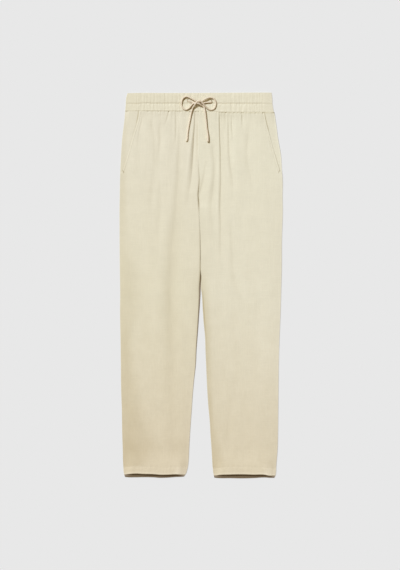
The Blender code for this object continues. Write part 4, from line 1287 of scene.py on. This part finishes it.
def tube(name, line, radius, sides=16):
    """A closed cord along a line of points; radius in metres, one for each point."""
    ahead = np.gradient(line, axis=0)
    ahead /= np.linalg.norm(ahead, axis=1, keepdims=True)
    up = np.array([0.0, 0.0, 1.0])
    rings, angle = [], np.linspace(0, 2 * np.pi, sides, endpoint=False)
    for i, (point, forward) in enumerate(zip(line, ahead)):
        up = up - forward * (up @ forward)
        up /= np.linalg.norm(up)
        right = np.cross(forward, up)
        rings.append(point + radius[i] * (np.cos(angle)[:, None] * right + np.sin(angle)[:, None] * up))
    count, faces, uv, far = len(line), [], [], walked(line)
    for i in range(count - 1):
        for k in range(sides):
            m = (k + 1) % sides
            faces.append((i * sides + k, i * sides + m, (i + 1) * sides + m, (i + 1) * sides + k))
            uv += [(k / sides, far[i]), ((k + 1) / sides, far[i])]
            uv += [((k + 1) / sides, far[i + 1]), (k / sides, far[i + 1])]
    for k in range(sides):
        m, last = (k + 1) % sides, (count - 1) * sides
        faces += [(m, k, count * sides), (last + k, last + m, count * sides + 1)]
        uv += [(0, 0), (0.1, 0), (0.05, 0.001)] * 2
    return mesh_piece(name, np.concatenate([*rings, [line[0], line[-1]]]), faces, [CORD_FINISH], "around", uv)


def half_cord(name, route, flare):
    """One half of the drawstring; its cut end flares by a share of its radius."""
    line, length, dark = cord_line(route)
    to_end = length - np.linspace(0, length, len(line))
    radius = CORD_D / 2 * MM * (1 + flare * bell(to_end, 0, FLARE))
    radius *= np.sqrt(np.clip(1 - np.clip(1 - to_end / ROUNDING, 0, 1) ** 2 * 0.8, 0.05, 1))
    print(f"{name}: {length:.3f} m from its buttonhole to its free end")
    return SimpleNamespace(piece=tube(name, line, radius), line=line, length=length, dark=dark)


cord_right = half_cord("drawstring_right", RIGHT_HALF, 0.0)
cord_left = half_cord("drawstring_left", LEFT_HALF, 0.3)


# %% Painted shadow beside the cord
BOW_MIDDLE, BOW_REACH, BOW_END = -6, 58, 145  # x, to each side of it, down
DARK_SIDE = (1.3, -1.2)  # away from the sun: towards the hem and the left side


def paint_cord_shadow(piece, cords, reach=2.5, strength=0.42):
    """Less light gets in beside the cord, so the cloth there gets a painted shadow."""
    data = piece.data
    points = np.empty(len(data.vertices) * 3)
    data.vertices.foreach_get("co", points)
    points = points.reshape(-1, 3) / MM
    tone = np.empty(len(points), np.float32)
    data.attributes["tone"].data.foreach_get("value", tone)
    path, dark = np.concatenate([c.line for c in cords]) / MM, np.concatenate([c.dark for c in cords])
    beside = np.abs(points[:, 0] - BOW_MIDDLE) < BOW_REACH
    near = np.flatnonzero(beside & (points[:, 1] > HALF_LENGTH - BOW_END))
    for part in np.array_split(near, max(1, len(near) // 2000)):
        across, up = (points[part, k, None] - path[:, k] - DARK_SIDE[k] for k in (0, 1))
        away = np.hypot(across, up)
        lift = np.clip((path[:, 2] - points[part, 2, None] - 1.5) / 9, 0, 1)
        tone[part] -= (strength * dark * (1 - lift) * np.exp(-((away / reach) ** 3))).max(axis=1)
    data.attributes["tone"].data.foreach_set("value", tone)


for piece in (front_right, front_left, band_front):
    paint_cord_shadow(piece, (cord_right, cord_left))
print("cloth darkened beside the cord:", CORD_D, "mm thick")

# %% [markdown]
# ## Table
# A plain pale sheet, far larger than the view, so that its edge never shows. It is
# a light table: about half of its light is its own, so a shadow on it stays faint.

# %% Table
TABLE_LIGHT = 0.55  # share of the table's light that is its own
pale = np.array(paint(232, 232, 232))
matt = {"Roughness": 1.0, "Specular_IOR_Level": 0.0, "Emission_Strength": 1.0}
table_finish, _, table_shader = new_finish("pale_table", **matt)
table_shader["Base Color"].default_value = (*(pale * (1 - TABLE_LIGHT)), 1)
table_shader["Emission Color"].default_value = (*(pale * TABLE_LIGHT), 1)
plane = bpy.data.meshes.new("table")
plane.from_pydata([(-6, -6, 0), (6, -6, 0), (6, 6, 0), (-6, 6, 0)], [], [(0, 1, 2, 3)])
plane.materials.append(table_finish)
table = place("table", plane)

# %% [markdown]
# ## What each piece is
# Every piece is tied to the frame: it rides on its body and stands for the solid it
# replaces, which is hidden.

# %% Tie the pieces to the frame
# flat size and area of each kind of panel, in metres
FRONT, BACK, FACING = ((0.235, 1.02), 0.215), ((0.235, 1.03), 0.215), ((0.062, 0.19), 0.0082)
BAND = ((0.50, 0.052), None)
# solid, its cloth, flat size and area, how it is held, the rows of stitches on it
PANELS = (
    ("front_right", front_right, *FRONT, "gathered", [hem_stitches[0], mouth_stitches[0], tacks]),
    ("front_left", front_left, *FRONT, "gathered", [hem_stitches[1], mouth_stitches[1]]),
    ("back_right", back_right, *BACK, "laid", [back_stitches[0]]),
    ("back_left", back_left, *BACK, "laid", [back_stitches[1]]),
    ("pocket_facing_right", facing_right, *FACING, "laid", []),
    ("pocket_facing_left", facing_left, *FACING, "laid", []),
    ("waistband_front", band_front, *BAND, "gathered", [band_stitches, buttonhole_stitches]),
    ("waistband_back", band_back, *BAND, "gathered", [back_band_stitches]),
)
for node, piece, flat, area, held, extras in PANELS:
    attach(piece, "root")
    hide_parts(node)
    for extra in extras:
        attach(extra, "root")
ENTRY, LOOP, END = "drawstring_entry_", "drawstring_loop_", "drawstring_end_"
for cord, nodes in (
    (cord_right, (ENTRY + "right", LOOP + "left", END + "right")),
    (cord_left, (ENTRY + "left", LOOP + "right", END + "left", "drawstring_knot")),
):
    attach(cord.piece, "root")
    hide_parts(*nodes)
